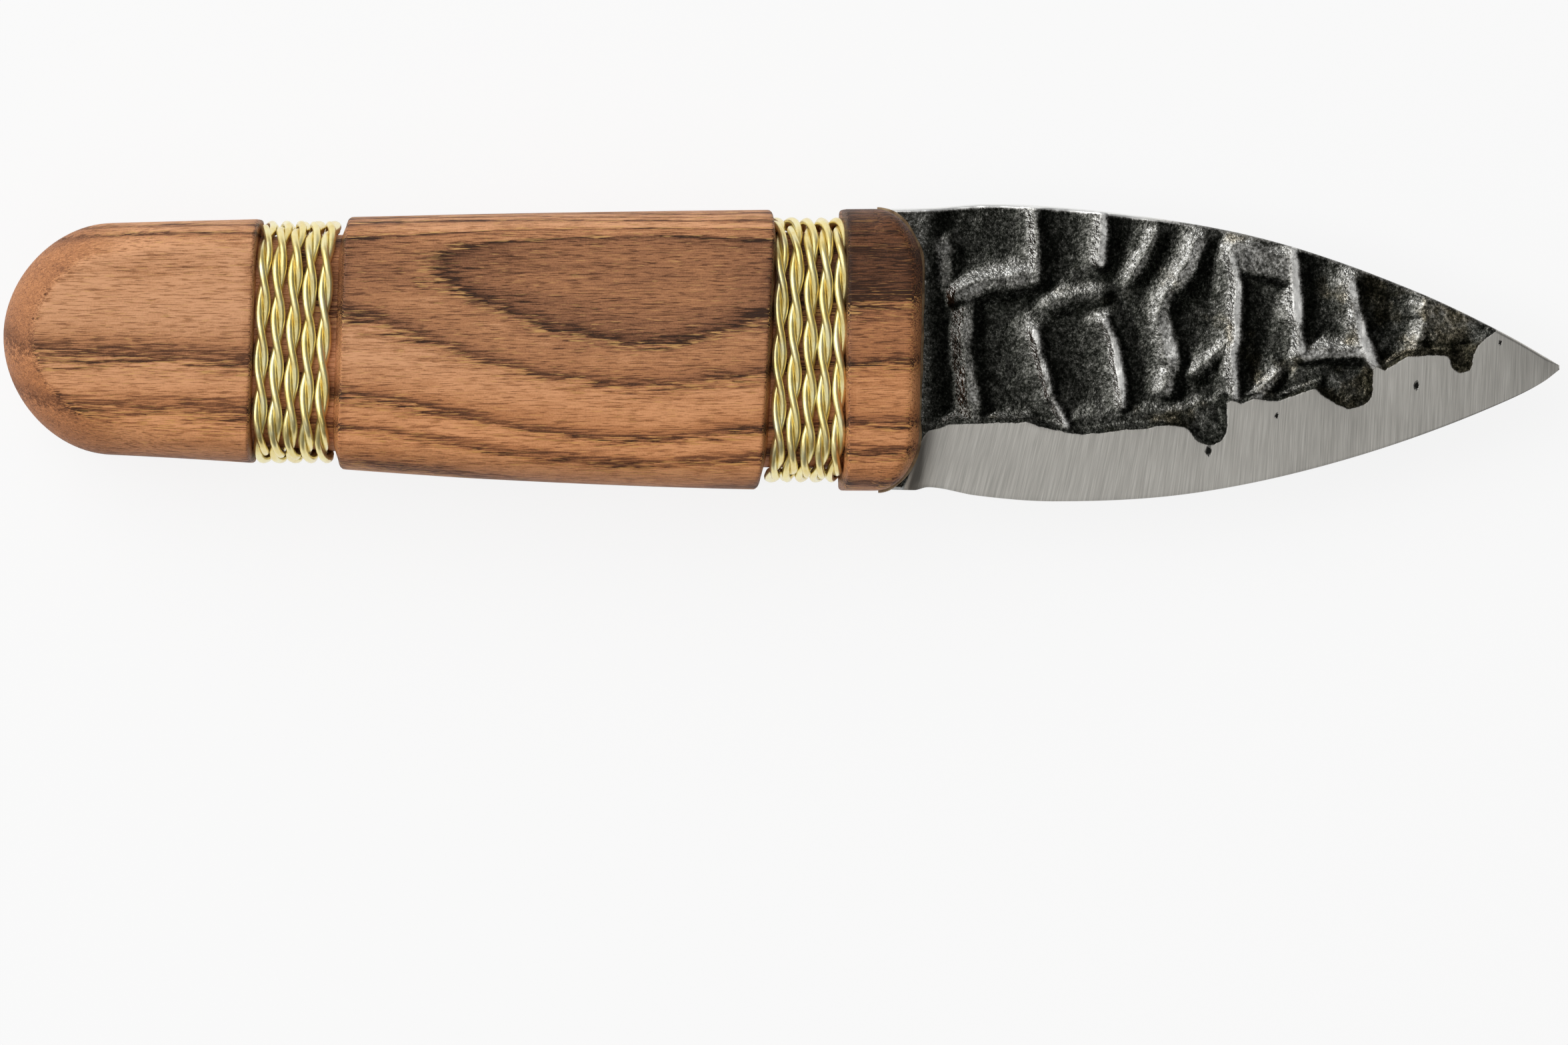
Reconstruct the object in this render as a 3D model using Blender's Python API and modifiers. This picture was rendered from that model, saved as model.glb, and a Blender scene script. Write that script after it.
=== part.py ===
# Small hammer-forged fixed-blade knife, built as eight separate pieces.
# The knife lies on its left side: X runs from butt to tip, Y from edge to spine, Z up.
# Sizes below are in millimetres; MM turns them into metres when a mesh is made.

import math

import bmesh
import bpy
import numpy as np
from mathutils import Matrix, Vector

MM = 0.001

# Driving sizes
HANDLE_THICKNESS = 18.0
ROUND_OVER_WIDTH = 2.6
ROUND_OVER_DEPTH = 5.2
GAP = 0.3
BLADE_THICKNESS = 3.0
GRIND_LINE_THICKNESS = 2.6
SHOULDER_X = 11.3
TANG_END_X = -58.0
TANG_FRONT_HEIGHT = 15.0
TANG_END_HEIGHT = 8.5
TANG_MIDDLE_Y = 0.8
EPOXY_FILM = 0.5
DENT_REACH = 2.2
EDGE_HALF_THICKNESS = 0.03
RIM_STEP = 0.25
TANG_RIM_STEP = 0.15
BLADE_STATIONS = 44
BLADE_ROWS = 17
PAST_BLADE = 20.0

# Bindings: two strands of brass wire twisted together, five turns in each groove
STRAND_RADIUS = 0.29
TWIST_RADIUS = 0.40
POINTS_PER_TWIST = 5.4
TURNS = 5
TURN_SPACING = 1.53
WIRE_TO_FLOOR = 0.95
FLOOR_CORNER_Y = 3.6
FLOOR_CORNER_Z = 4.6
ROUTE_STEPS = 4000
ANCHOR_Y = 6.0
ANCHOR_BEND = 1.1
ANCHOR_RUN = 2.6
ANCHOR_HOLE_RADIUS = 1.0
ANCHOR_HOLE_DEPTH = 3.0
HOLE_CLEARANCE = 0.4
JOG_HALF_LENGTH = 4.0
CUTTER_HALF_Y = 24.0
CUTTER_HALF_Z = 16.0

# Each groove: middle along the handle, width, depth, slant in degrees, top and bottom of the wood,
# and the length of one full twist of its wires
GROOVES = {
    "rear": {"x": -49.85, "width": 8.6, "depth": 1.8, "slant": 1.9, "top": 13.77, "bottom": -11.58,
             "twist": 10.1},
    "front": {"x": 2.6, "width": 8.2, "depth": 2.3, "slant": 2.3, "top": 14.63, "bottom": -14.05,
              "twist": 10.5},
}

# Handle outline: corner, handle back, handle forward
ROUND = 0.52
HANDLE_OUTLINE = [
    ((-80.0, 1.6), (0.0, -ROUND * 12.1), (0.0, ROUND * 11.7)),
    ((-69.2, 13.3), (-ROUND * 10.8, -0.2), (12.0, 0.35)),
    ((-32.5, 14.2), (-12.0, -0.28), (14.0, 0.28)),
    ((9.8, 14.75), (-14.0, -0.1), (ROUND * 4.65, 0.0)),
    ((14.45, 8.2), (0.0, ROUND * 6.5), (0.0, -5.0)),
    ((14.1, -8.0), (0.0, 5.0), (0.0, -ROUND * 6.2)),
    ((9.9, -14.2), (ROUND * 4.2, 0.0), (-14.0, 0.0)),
    ((-32.5, -12.9), (14.0, -0.75), (-12.0, 0.75)),
    ((-69.2, -10.5), (12.0, -0.55), (-ROUND * 10.8, 0.2)),
]

# Blade outline, from the shoulder to the tip
SPINE = [(11.3, 14.8), (15.5, 14.9), (21.0, 15.3), (35.0, 14.3), (50.0, 11.6), (65.0, 6.4), (75.0, 1.6),
         (80.0, -1.3)]
EDGE = [(11.3, -14.1), (13.6, -14.15), (15.0, -13.85), (20.0, -14.7), (28.0, -15.3), (42.0, -14.5),
        (58.0, -11.0), (74.0, -5.2), (78.5, -2.9), (80.0, -1.75)]

# Width of the ground bevel along the blade, square to the edge
GRIND_WIDTH = [(12.3, 0.0), (15.4, 6.6), (19.7, 7.7), (23.0, 8.0), (28.0, 7.6), (38.0, 7.6), (41.0, 8.0),
               (46.0, 8.9), (50.0, 8.6), (55.0, 8.0), (61.0, 8.7), (65.0, 8.1), (74.0, 7.2), (80.0, 7.0)]

# Hammer dents on the flat: depth, then corners
DENTS = {
    "upper_by_wood": (0.35, [(15.2, 12.3), (19.3, 13.0), (19.1, 8.9), (18.3, 6.1), (15.2, 6.1)]),
    "lower_by_wood": (0.50, [(14.8, 5.1), (18.3, 5.1), (18.2, 1.7), (18.6, -1.1),
                             (19.8, -8.2), (14.8, -8.2)]),
    "second_upper": (0.50, [(19.8, 13.7), (25.2, 14.2), (25.8, 12.6), (25.8, 8.2),
                            (21.1, 7.1), (19.6, 8.9)]),
    "second_lower": (0.50, [(19.8, 2.0), (25.5, 1.7), (26.7, -2.1), (28.7, -8.3),
                            (20.7, -8.3), (20.2, -2.1)]),
    "third_upper": (0.55, [(26.8, 12.6), (32.0, 13.0), (32.7, 11.5), (31.7, 7.1),
                           (27.4, 5.7), (26.7, 7.5)]),
    "third_lower": (0.50, [(27.0, 2.0), (32.9, 2.8), (34.0, -0.7), (35.1, -9.2),
                           (29.3, -9.2), (27.6, -2.8)]),
    "fourth_upper": (0.50, [(33.8, 14.5), (37.2, 14.0), (37.9, 12.4), (35.0, 7.4),
                            (34.1, 7.5), (33.6, 10.2)]),
    "fourth_lower": (0.50, [(34.2, 5.1), (38.6, 6.1), (38.9, 0.6), (38.6, -8.6),
                            (36.2, -8.6), (35.1, -1.1)]),
    "fifth_upper": (0.40, [(38.8, 13.3), (42.0, 13.0), (42.3, 11.3), (39.5, 8.1),
                           (37.9, 8.5), (37.7, 10.9)]),
    "sixth": (0.55, [(40.1, 5.8), (45.6, 9.6), (46.4, 7.1), (46.0, 1.5), (42.1, -1.4), (40.8, 1.3)]),
    "seventh": (0.55, [(47.3, 6.6), (51.8, 7.4), (52.7, 2.7), (52.4, 0.1), (47.3, -5.1), (47.0, 0.6)]),
    "eighth": (0.55, [(53.2, 10.4), (56.7, 9.1), (59.2, 1.7), (54.3, 0.4), (53.3, 6.1)]),
    "ninth": (0.55, [(59.6, 7.6), (65.8, 5.8), (66.0, 3.4), (62.2, -1.9), (60.5, 1.7)]),
    "low_lobe": (0.65, [(41.6, -2.1), (45.6, -4.2), (46.0, -7.2), (43.4, -9.7), (40.6, -5.9)]),
    "far_lobe": (0.65, [(54.8, -1.1), (60.6, -1.4), (60.6, -5.3), (58.0, -6.1), (54.8, -3.5)]),
}


def clear_scene():
    for obj in list(bpy.data.objects):
        bpy.data.objects.remove(obj, do_unlink=True)


def new_collection(name):
    collection = bpy.data.collections.new(name)
    bpy.context.scene.collection.children.link(collection)
    return collection


def plain_material(name, colour, metallic, roughness):
    material = bpy.data.materials.new(name)
    material.use_nodes = True
    shader = material.node_tree.nodes["Principled BSDF"]
    shader.inputs["Base Color"].default_value = (*colour, 1.0)
    shader.inputs["Metallic"].default_value = metallic
    shader.inputs["Roughness"].default_value = roughness
    return material


def smooth_line(points, x):
    # A smooth curve through a few hand-set points
    xs = np.array([p[0] for p in points])
    ys = np.array([p[1] for p in points])
    steps = np.diff(ys) / np.diff(xs)
    slopes = np.concatenate([steps[:1], (steps[1:] + steps[:-1]) / 2, steps[-1:]])
    flat = np.concatenate([[False], steps[1:] * steps[:-1] <= 0, [False]])
    slopes[flat] = 0.0
    x = np.clip(np.asarray(x, dtype=float), xs[0], xs[-1])
    i = np.clip(np.searchsorted(xs, x) - 1, 0, len(xs) - 2)
    width = xs[i + 1] - xs[i]
    t = (x - xs[i]) / width
    return (ys[i] * (1 + 2 * t) * (1 - t) ** 2 + ys[i + 1] * t * t * (3 - 2 * t)
            + slopes[i] * width * t * (1 - t) ** 2 + slopes[i + 1] * width * t * t * (t - 1))


def mesh_of(obj, weld=0.000001):
    # The evaluated curve as a closed mesh with its caps welded on
    bpy.context.view_layer.update()
    graph = bpy.context.evaluated_depsgraph_get()
    mesh = bpy.data.meshes.new_from_object(obj.evaluated_get(graph))
    source = obj.data
    bpy.data.objects.remove(obj, do_unlink=True)
    bpy.data.curves.remove(source)
    bm = bmesh.new()
    bm.from_mesh(mesh)
    bmesh.ops.remove_doubles(bm, verts=bm.verts, dist=weld)
    bmesh.ops.recalc_face_normals(bm, faces=bm.faces)
    bm.to_mesh(mesh)
    bm.free()
    return mesh


def flat_curve(name):
    curve = bpy.data.curves.new(name, "CURVE")
    curve.dimensions = "2D"
    curve.fill_mode = "BOTH"
    obj = bpy.data.objects.new(name, curve)
    bpy.context.scene.collection.objects.link(obj)
    return obj


def add_corners(curve, corners):
    spline = curve.splines.new("POLY")
    spline.points.add(len(corners) - 1)
    for point, (x, y) in zip(spline.points, corners):
        point.co = (x * MM, y * MM, 0.0, 1.0)
    spline.use_cyclic_u = True


def prism(name, corners, half_thickness, hole=None):
    # A flat outline extruded both ways, with an optional hole through it
    obj = flat_curve(name)
    add_corners(obj.data, corners)
    if hole is not None:
        add_corners(obj.data, hole)
    obj.data.extrude = half_thickness * MM
    return mesh_of(obj)


def handle_block():
    # The outline with an elliptical round-over along both faces
    obj = flat_curve("handle_block")
    curve = obj.data
    spline = curve.splines.new("BEZIER")
    spline.bezier_points.add(len(HANDLE_OUTLINE) - 1)
    for point, (corner, back, forward) in zip(spline.bezier_points, HANDLE_OUTLINE):
        place = Vector((*corner, 0.0)) * MM
        point.handle_left_type = "FREE"
        point.handle_right_type = "FREE"
        point.co = place
        point.handle_left = place + Vector((*back, 0.0)) * MM
        point.handle_right = place + Vector((*forward, 0.0)) * MM
    spline.use_cyclic_u = True
    stretch = ROUND_OVER_DEPTH / ROUND_OVER_WIDTH
    curve.resolution_u = 7
    curve.bevel_resolution = 3
    curve.bevel_depth = ROUND_OVER_WIDTH * MM
    curve.offset = -ROUND_OVER_WIDTH * MM
    curve.extrude = (HANDLE_THICKNESS / 2 - ROUND_OVER_DEPTH) / stretch * MM
    mesh = mesh_of(obj)
    mesh.transform(Matrix.Diagonal((1.0, 1.0, stretch, 1.0)))
    return mesh


def half_of(block, name, side):
    # One scale: the block cut along the seam, with half the seam's gap taken off
    bm = bmesh.new()
    bm.from_mesh(block)
    bmesh.ops.bisect_plane(bm, geom=bm.verts[:] + bm.edges[:] + bm.faces[:], dist=1e-7,
                           plane_co=(0, 0, side * GAP / 2 * MM), plane_no=(0, 0, side), clear_inner=True)
    rim = [edge for edge in bm.edges if edge.is_boundary]
    bmesh.ops.edgeloop_fill(bm, edges=rim)
    bmesh.ops.recalc_face_normals(bm, faces=bm.faces)
    mesh = bpy.data.meshes.new(name)
    bm.to_mesh(mesh)
    bm.free()
    return mesh


def tang_outline(grow):
    front = TANG_FRONT_HEIGHT / 2 + grow
    back = TANG_END_HEIGHT / 2 + grow
    end = TANG_END_X - grow
    return [(SHOULDER_X + GAP, TANG_MIDDLE_Y + front), (end, TANG_MIDDLE_Y + back),
            (end, TANG_MIDDLE_Y - back), (SHOULDER_X + GAP, TANG_MIDDLE_Y - front)]


def dent_depth(x, y):
    # How deep the hammer went at each point: a dish inside each dent's outline
    total = np.zeros_like(x)
    for depth, corners in DENTS.values():
        inside = np.zeros(x.shape, dtype=bool)
        nearest = np.full(x.shape, 1e9)
        for (ax, ay), (bx, by) in zip(corners, corners[1:] + corners[:1]):
            crosses = (ay > y) != (by > y)
            at = ax + (y - ay) * (bx - ax) / (by - ay if by != ay else 1e-9)
            inside ^= crosses & (x < at)
            run = (bx - ax) ** 2 + (by - ay) ** 2
            t = np.clip(((x - ax) * (bx - ax) + (y - ay) * (by - ay)) / run, 0, 1)
            nearest = np.minimum(nearest, np.hypot(x - ax - t * (bx - ax), y - ay - t * (by - ay)))
        in_dish = np.clip(nearest / DENT_REACH, 0, 1)
        total = np.maximum(total, np.where(inside, depth * (1 - (1 - in_dish) ** 2), 0.0))
    return total


def half_thickness(x, y):
    # Forged flat less the dents, cut back by the ground bevel
    spine = smooth_line(SPINE, x)
    edge = smooth_line(EDGE, x)
    slope = (smooth_line(EDGE, x + 0.2) - smooth_line(EDGE, x - 0.2)) / 0.4
    from_edge = np.maximum((y - edge) / np.hypot(1.0, slope), 0.0)
    width = smooth_line(GRIND_WIDTH, x)
    up = np.clip((y - edge - width) / np.maximum(spine - edge - width, 1.0), 0, 1)
    forged = GRIND_LINE_THICKNESS / 2 + (BLADE_THICKNESS - GRIND_LINE_THICKNESS) / 2 * up
    ground = GRIND_LINE_THICKNESS / 2 * from_edge / np.maximum(width, 0.05)
    ground = np.where(x < GRIND_WIDTH[0][0] + 0.2, BLADE_THICKNESS, ground)
    return np.minimum(forged - dent_depth(x, y), ground + EDGE_HALF_THICKNESS)


def build_blade():
    # One side as a grid whose rim lies on the middle plane; the mirror closes it
    tang = [TANG_END_X, TANG_END_X + 0.4] + list(np.linspace(-40.0, SHOULDER_X - 0.2, 4))
    steel = [SHOULDER_X, 12.6, 14.0] + list(np.linspace(15.3, 78.6, BLADE_STATIONS)) + [79.5, 80.0]
    stations = tang + steel
    bm = bmesh.new()
    bmesh.ops.create_grid(bm, x_segments=len(stations) - 1, y_segments=BLADE_ROWS - 1, size=1.0)
    for vert in bm.verts:
        i = round((vert.co.x + 1) / 2 * (len(stations) - 1))
        j = round((vert.co.y + 1) / 2 * (BLADE_ROWS - 1))
        x = stations[i]
        on_rim = i in (0, len(stations) - 1) or j in (0, BLADE_ROWS - 1)
        if i < len(tang):
            along = (x - TANG_END_X) / (SHOULDER_X - TANG_END_X)
            height = TANG_END_HEIGHT + (TANG_FRONT_HEIGHT - TANG_END_HEIGHT) * max(along, 0.0)
            low = TANG_MIDDLE_Y - height / 2
            high = TANG_MIDDLE_Y + height / 2
            wall = TANG_RIM_STEP
        else:
            low = float(smooth_line(EDGE, x))
            high = float(smooth_line(SPINE, x))
            wall = min(RIM_STEP, 0.2 * (high - low))
        inner = (j - 1) / (BLADE_ROWS - 3)
        y = low + wall + inner * (high - low - 2 * wall)
        if j == 0:
            y = low
        if j == BLADE_ROWS - 1:
            y = high
        if on_rim:
            z = 0.0
        elif i < len(tang):
            z = BLADE_THICKNESS / 2
        else:
            z = float(half_thickness(np.array([x]), np.array([y]))[0])
        vert.co = Vector((x, y, z)) * MM
    bmesh.ops.recalc_face_normals(bm, faces=bm.faces)
    if sum(face.normal.z * face.calc_area() for face in bm.faces) < 0:
        bmesh.ops.reverse_faces(bm, faces=bm.faces)
    mesh = bpy.data.meshes.new("blade")
    bm.to_mesh(mesh)
    bm.free()
    return mesh


def groove_section(groove, inset, corner_y, corner_z, steps):
    # Closed loop round the handle at a depth, as points (y, z) from the middle of the section
    half_y = (groove["top"] - groove["bottom"]) / 2 - inset
    half_z = HANDLE_THICKNESS / 2 - inset
    loop = []
    for quarter, (sign_y, sign_z) in enumerate(((1, 1), (-1, 1), (-1, -1), (1, -1))):
        for step in range(steps + 1):
            turn = math.pi / 2 * (quarter + step / steps)
            loop.append((sign_y * (half_y - corner_y) + corner_y * math.cos(turn),
                         sign_z * (half_z - corner_z) + corner_z * math.sin(turn)))
    return loop


def groove_placing(groove):
    # Turns a section drawn flat so that its thickness runs along the slanted groove
    middle = (groove["top"] + groove["bottom"]) / 2
    stand = Matrix(((0, 0, 1, 0), (1, 0, 0, 0), (0, 1, 0, 0), (0, 0, 0, 1)))
    slant = Matrix.Rotation(-math.radians(groove["slant"]), 4, "Z")
    return Matrix.Translation(Vector((groove["x"], middle, 0)) * MM) @ slant @ stand


def groove_cutter(name, groove):
    # A slab round the handle with the bare core left as a hole through it
    core = groove_section(groove, groove["depth"], FLOOR_CORNER_Y, FLOOR_CORNER_Z, 6)
    outer = [(CUTTER_HALF_Y, CUTTER_HALF_Z), (-CUTTER_HALF_Y, CUTTER_HALF_Z),
             (-CUTTER_HALF_Y, -CUTTER_HALF_Z), (CUTTER_HALF_Y, -CUTTER_HALF_Z)]
    mesh = prism(name, outer, groove["width"] / 2, core)
    mesh.transform(groove_placing(groove))
    return mesh


def wire_ends():
    # Where the pair of strands leaves and enters the wood, on the hidden side
    spread = (TURNS - 1) / 2 * TURN_SPACING
    return [(-spread, -ANCHOR_Y), (spread, ANCHOR_Y)]


def anchor_holes(name, groove):
    # Two short round holes in the groove's floor, joined into one cutter mesh
    bm = bmesh.new()
    floor = -(HANDLE_THICKNESS / 2 - groove["depth"])
    placing = groove_placing(groove)
    length = ANCHOR_HOLE_DEPTH + HOLE_CLEARANCE
    for along, across in wire_ends():
        middle = placing @ (Vector((across, floor + length / 2 - HOLE_CLEARANCE, along)) * MM)
        bmesh.ops.create_cone(bm, cap_ends=True, segments=14, radius1=ANCHOR_HOLE_RADIUS * MM,
                              radius2=ANCHOR_HOLE_RADIUS * MM, depth=length * MM,
                              matrix=Matrix.Translation(middle))
    mesh = bpy.data.meshes.new(name)
    bm.to_mesh(mesh)
    bm.free()
    return mesh


def wire_route(groove):
    # Middle line of the twisted pair: running lengths, points (y, z, x) and outward directions (y, z).
    # It starts on the hidden face and walks up the shown face and down the hidden one.
    inset = groove["depth"] - WIRE_TO_FLOOR
    corner_y = FLOOR_CORNER_Y + WIRE_TO_FLOOR
    corner_z = FLOOR_CORNER_Z + WIRE_TO_FLOOR
    loop = np.array(groove_section(groove, inset, corner_y, corner_z, 24))[::-1]
    closed = np.vstack([loop, loop[:1]])
    lengths = np.concatenate([[0.0], np.cumsum(np.hypot(*np.diff(closed, axis=0).T))])
    around = lengths[-1]
    fine = np.linspace(0.0, around, ROUTE_STEPS, endpoint=False)
    ring = np.stack([np.interp(fine, lengths, closed[:, axis]) for axis in (0, 1)], axis=1)
    start = int(np.argmin(np.hypot(ring[:, 0], ring[:, 1] - loop[:, 1].min())))
    ring = np.roll(ring, -start, axis=0)

    first = ANCHOR_Y + ANCHOR_BEND
    last = TURNS * around - ANCHOR_Y - ANCHOR_BEND
    count = int((last - first) / groove["twist"] * POINTS_PER_TWIST)
    at = np.linspace(first, last, count)
    spot = (at % around) / around * ROUTE_STEPS
    low = np.floor(spot).astype(int) % ROUTE_STEPS
    part = (spot - np.floor(spot))[:, None]
    centre = ring[low] * (1 - part) + ring[(low + 1) % ROUTE_STEPS] * part
    run = ring[(low + 12) % ROUTE_STEPS] - ring[(low - 12) % ROUTE_STEPS]
    out = np.stack([run[:, 1], -run[:, 0]], axis=1)
    out /= np.linalg.norm(out, axis=1)[:, None]
    if np.sum(centre * out) < 0:
        out = -out

    turn = at / around
    jog = JOG_HALF_LENGTH / around
    ease = np.clip((turn - np.round(turn) + jog) / (2 * jog), 0, 1)
    lap = np.round(turn) - 1 + ease * ease * (3 - 2 * ease)
    x = (lap - (TURNS - 1) / 2) * TURN_SPACING
    return at, np.column_stack([centre, x]), out


def strand_points(groove, half_turn):
    at, middle, out = wire_route(groove)
    half_twists = round((at[-1] - at[0]) / (groove["twist"] / 2))
    turn = math.pi / 2 - math.pi * half_twists * (at - at[0]) / (at[-1] - at[0]) + half_turn * math.pi
    points = middle.copy()
    points[:, :2] += TWIST_RADIUS * np.cos(turn)[:, None] * out
    points[:, 2] += TWIST_RADIUS * np.sin(turn)
    # Each end turns down the anchor hole and runs straight into it
    into = np.array([(0.62, 0.14, 0.0), (1.0, 0.52, 0.0), (ANCHOR_BEND, 1.1, 0.0),
                     (ANCHOR_BEND, ANCHOR_RUN, 0.0)])
    head = points[0] + into[::-1]
    tail = points[-1] + into * (-1, 1, 1)
    return np.vstack([head, points, tail])


def strand_mesh(name, groove, half_turn):
    points = strand_points(groove, half_turn)
    placing = groove_placing(groove)
    curve = bpy.data.curves.new(name, "CURVE")
    curve.dimensions = "3D"
    curve.bevel_depth = STRAND_RADIUS * MM
    curve.bevel_resolution = 1
    curve.use_fill_caps = True
    spline = curve.splines.new("POLY")
    spline.points.add(len(points) - 1)
    for point, place in zip(spline.points, points):
        spot = placing @ (Vector(place) * MM)
        point.co = (spot.x, spot.y, spot.z, 1.0)
    obj = bpy.data.objects.new(name, curve)
    bpy.context.scene.collection.objects.link(obj)
    return mesh_of(obj)


def main():
    clear_scene()
    knife = new_collection("hammered_knife")
    cutters = new_collection("knife_cutters")

    middle = bpy.data.objects.new("knife_middle", None)
    middle.location = (0.0, 0.0, HANDLE_THICKNESS / 2 * MM)
    knife.objects.link(middle)

    steel = plain_material("hammered_steel", (0.22, 0.22, 0.23), 1.0, 0.42)
    wood = plain_material("walnut", (0.36, 0.19, 0.09), 0.0, 0.5)
    resin = plain_material("cured_epoxy", (0.55, 0.38, 0.18), 0.0, 0.3)
    brass = plain_material("brass_wire", (0.78, 0.62, 0.30), 1.0, 0.32)

    def piece(name, mesh, material):
        mesh.name = name
        mesh.materials.clear()
        mesh.materials.append(material)
        obj = bpy.data.objects.new(name, mesh)
        obj.parent = middle
        knife.objects.link(obj)
        return obj

    def cutter(name, mesh):
        obj = bpy.data.objects.new(name, mesh)
        obj.parent = middle
        obj.hide_render = True
        obj.display_type = "WIRE"
        cutters.objects.link(obj)
        return obj

    def cut(obj, tool):
        modifier = obj.modifiers.new("cut_" + tool.name, "BOOLEAN")
        modifier.operation = "DIFFERENCE"
        modifier.solver = "EXACT"
        modifier.object = tool

    # Blade and tang, one forging
    blade = piece("blade", build_blade(), steel)
    mirror = blade.modifiers.new("other_side", "MIRROR")
    mirror.use_axis = (False, False, True)
    mirror.use_mirror_merge = True
    mirror.merge_threshold = 0.00001

    # Scales
    block = handle_block()
    right_scale = piece("right_scale", half_of(block, "right_scale", 1), wood)
    left_scale = piece("left_scale", half_of(block, "left_scale", -1), wood)
    pocket_half = BLADE_THICKNESS / 2 + EPOXY_FILM + 2 * GAP
    pocket = cutter("tang_pocket", prism("tang_pocket", tang_outline(EPOXY_FILM + 2 * GAP), pocket_half))
    slot_back = SHOULDER_X - 0.2 - GAP
    slot_corners = [(slot_back, PAST_BLADE), (slot_back, -PAST_BLADE), (PAST_BLADE, -PAST_BLADE),
                    (PAST_BLADE, PAST_BLADE)]
    slot = cutter("blade_slot", prism("blade_slot", slot_corners, BLADE_THICKNESS / 2 + GAP))
    rings = []
    for side, groove in GROOVES.items():
        rings.append(cutter(side + "_groove", groove_cutter(side + "_groove", groove)))
    for scale in (right_scale, left_scale):
        for tool in [pocket, slot] + rings:
            cut(scale, tool)
    for side, groove in GROOVES.items():
        cut(left_scale, cutter(side + "_anchor_holes", anchor_holes(side + "_anchor_holes", groove)))

    # Epoxy bed round the tang, open at the front
    bed_half = BLADE_THICKNESS / 2 + GAP
    bed = piece("tang_epoxy", prism("tang_epoxy", tang_outline(EPOXY_FILM + GAP)[1:3] + [
        (SHOULDER_X - 3 * GAP, TANG_MIDDLE_Y - TANG_FRONT_HEIGHT / 2 - EPOXY_FILM - GAP),
        (SHOULDER_X - 3 * GAP, TANG_MIDDLE_Y + TANG_FRONT_HEIGHT / 2 + EPOXY_FILM + GAP)],
        bed_half + EPOXY_FILM), resin)
    room = [(x + GAP * 10 if x > 0 else x, y) for x, y in tang_outline(GAP)]
    cut(bed, cutter("tang_room", prism("tang_room", room, bed_half)))

    # Wire bindings
    for side, groove in GROOVES.items():
        for strand, half_turn in (("a", 0), ("b", 1)):
            name = side + "_wire_strand_" + strand
            piece(name, strand_mesh(name, groove, half_turn), brass)


main()
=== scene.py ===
import math

import bmesh
import bpy
import numpy as np
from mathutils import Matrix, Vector


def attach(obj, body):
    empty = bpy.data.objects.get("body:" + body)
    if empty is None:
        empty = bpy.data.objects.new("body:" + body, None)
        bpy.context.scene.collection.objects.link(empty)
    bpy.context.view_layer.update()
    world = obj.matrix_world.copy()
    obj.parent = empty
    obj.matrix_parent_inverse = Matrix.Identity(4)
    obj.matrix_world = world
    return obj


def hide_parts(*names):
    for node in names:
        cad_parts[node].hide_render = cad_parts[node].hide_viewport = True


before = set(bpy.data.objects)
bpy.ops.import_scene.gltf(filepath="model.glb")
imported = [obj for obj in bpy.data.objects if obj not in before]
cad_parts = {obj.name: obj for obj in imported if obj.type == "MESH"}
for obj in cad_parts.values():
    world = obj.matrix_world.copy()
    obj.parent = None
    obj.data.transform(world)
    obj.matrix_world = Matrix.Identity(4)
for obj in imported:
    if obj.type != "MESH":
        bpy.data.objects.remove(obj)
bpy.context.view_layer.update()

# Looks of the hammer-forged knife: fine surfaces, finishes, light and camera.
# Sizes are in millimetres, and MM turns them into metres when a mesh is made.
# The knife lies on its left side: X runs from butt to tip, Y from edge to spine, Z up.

MM = 0.001

# Places this close count as one, points nearer than a join are joined,
# and edges sharper than this many degrees stay crisp
SAME_PLACE = 0.001
SCALE_JOIN = 0.002
STRAND_JOIN = 0.0005
WOOD_SHARP = 38
STEEL_SHARP = 50

# Handle
BUTT_X = -80.0
FRONT_X = 14.3
MIDDLE_Z = 9.0
HALF_THICKNESS = 9.0
ROUND_OVER_WIDTH = 2.8
ROUND_OVER_DEPTH = 5.4
BUTT_ROUND_WIDTH = 3.4
BUTT_ROUND_FADE = (-62.0, -70.0)
BUTT_CREASE = 0.38
CREASE_ELSEWHERE = 0.25
FRONT_ROUND_WIDTH = 1.2
FRONT_ROUND_DEPTH = 2.2
FRONT_ROUND_FADE = (9.0, 12.5)
SEAM_HALF_GAP = 0.03
ARRIS = 0.4

# Grid of the handle: its cross-cuts crowd at the butt, the front and the groove edges, its rows at the rims
HANDLE_ROWS = 60
ROW_CROWDING = 0.75
BUTT_FIRST_CUT = BUTT_X + 0.02
BUTT_CURVE = 11.0
BUTT_CUTS = 28
BODY_CUTS = (-68.3, 9.6, 0.8)
FRONT_CURVE_FROM = 9.9
FRONT_CURVE = 4.37
CUTS_BY_GROOVE = np.array([0.0, 0.05, 0.12, 0.22, 0.34, 0.48])
CLEAR_OUTSIDE = 0.55
CLEAR_INSIDE = 0.3
FOOT_STEP = 0.12
OUTLINE_STEPS = 30

# Handle outline: corner, handle back, handle forward
ROUND = 0.52
HANDLE_OUTLINE = [
    ((BUTT_X, 1.6), (0.0, -ROUND * 12.1), (0.0, ROUND * 11.7)),
    ((-69.2, 13.3), (-ROUND * 10.8, -0.2), (12.0, 0.35)),
    ((-32.5, 14.2), (-12.0, -0.28), (14.0, 0.28)),
    ((9.8, 14.75), (-14.0, -0.1), (ROUND * 4.65, 0.0)),
    ((14.45, 8.2), (0.0, ROUND * 6.5), (0.0, -5.0)),
    ((14.1, -8.0), (0.0, 5.0), (0.0, -ROUND * 6.2)),
    ((9.9, -14.2), (ROUND * 4.2, 0.0), (-14.0, 0.0)),
    ((-32.5, -12.9), (14.0, -0.75), (-12.0, 0.75)),
    ((-69.2, -10.5), (12.0, -0.55), (-ROUND * 10.8, 0.2)),
]
FRONT_TOP = 4
FRONT_BOTTOM = 5

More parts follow.
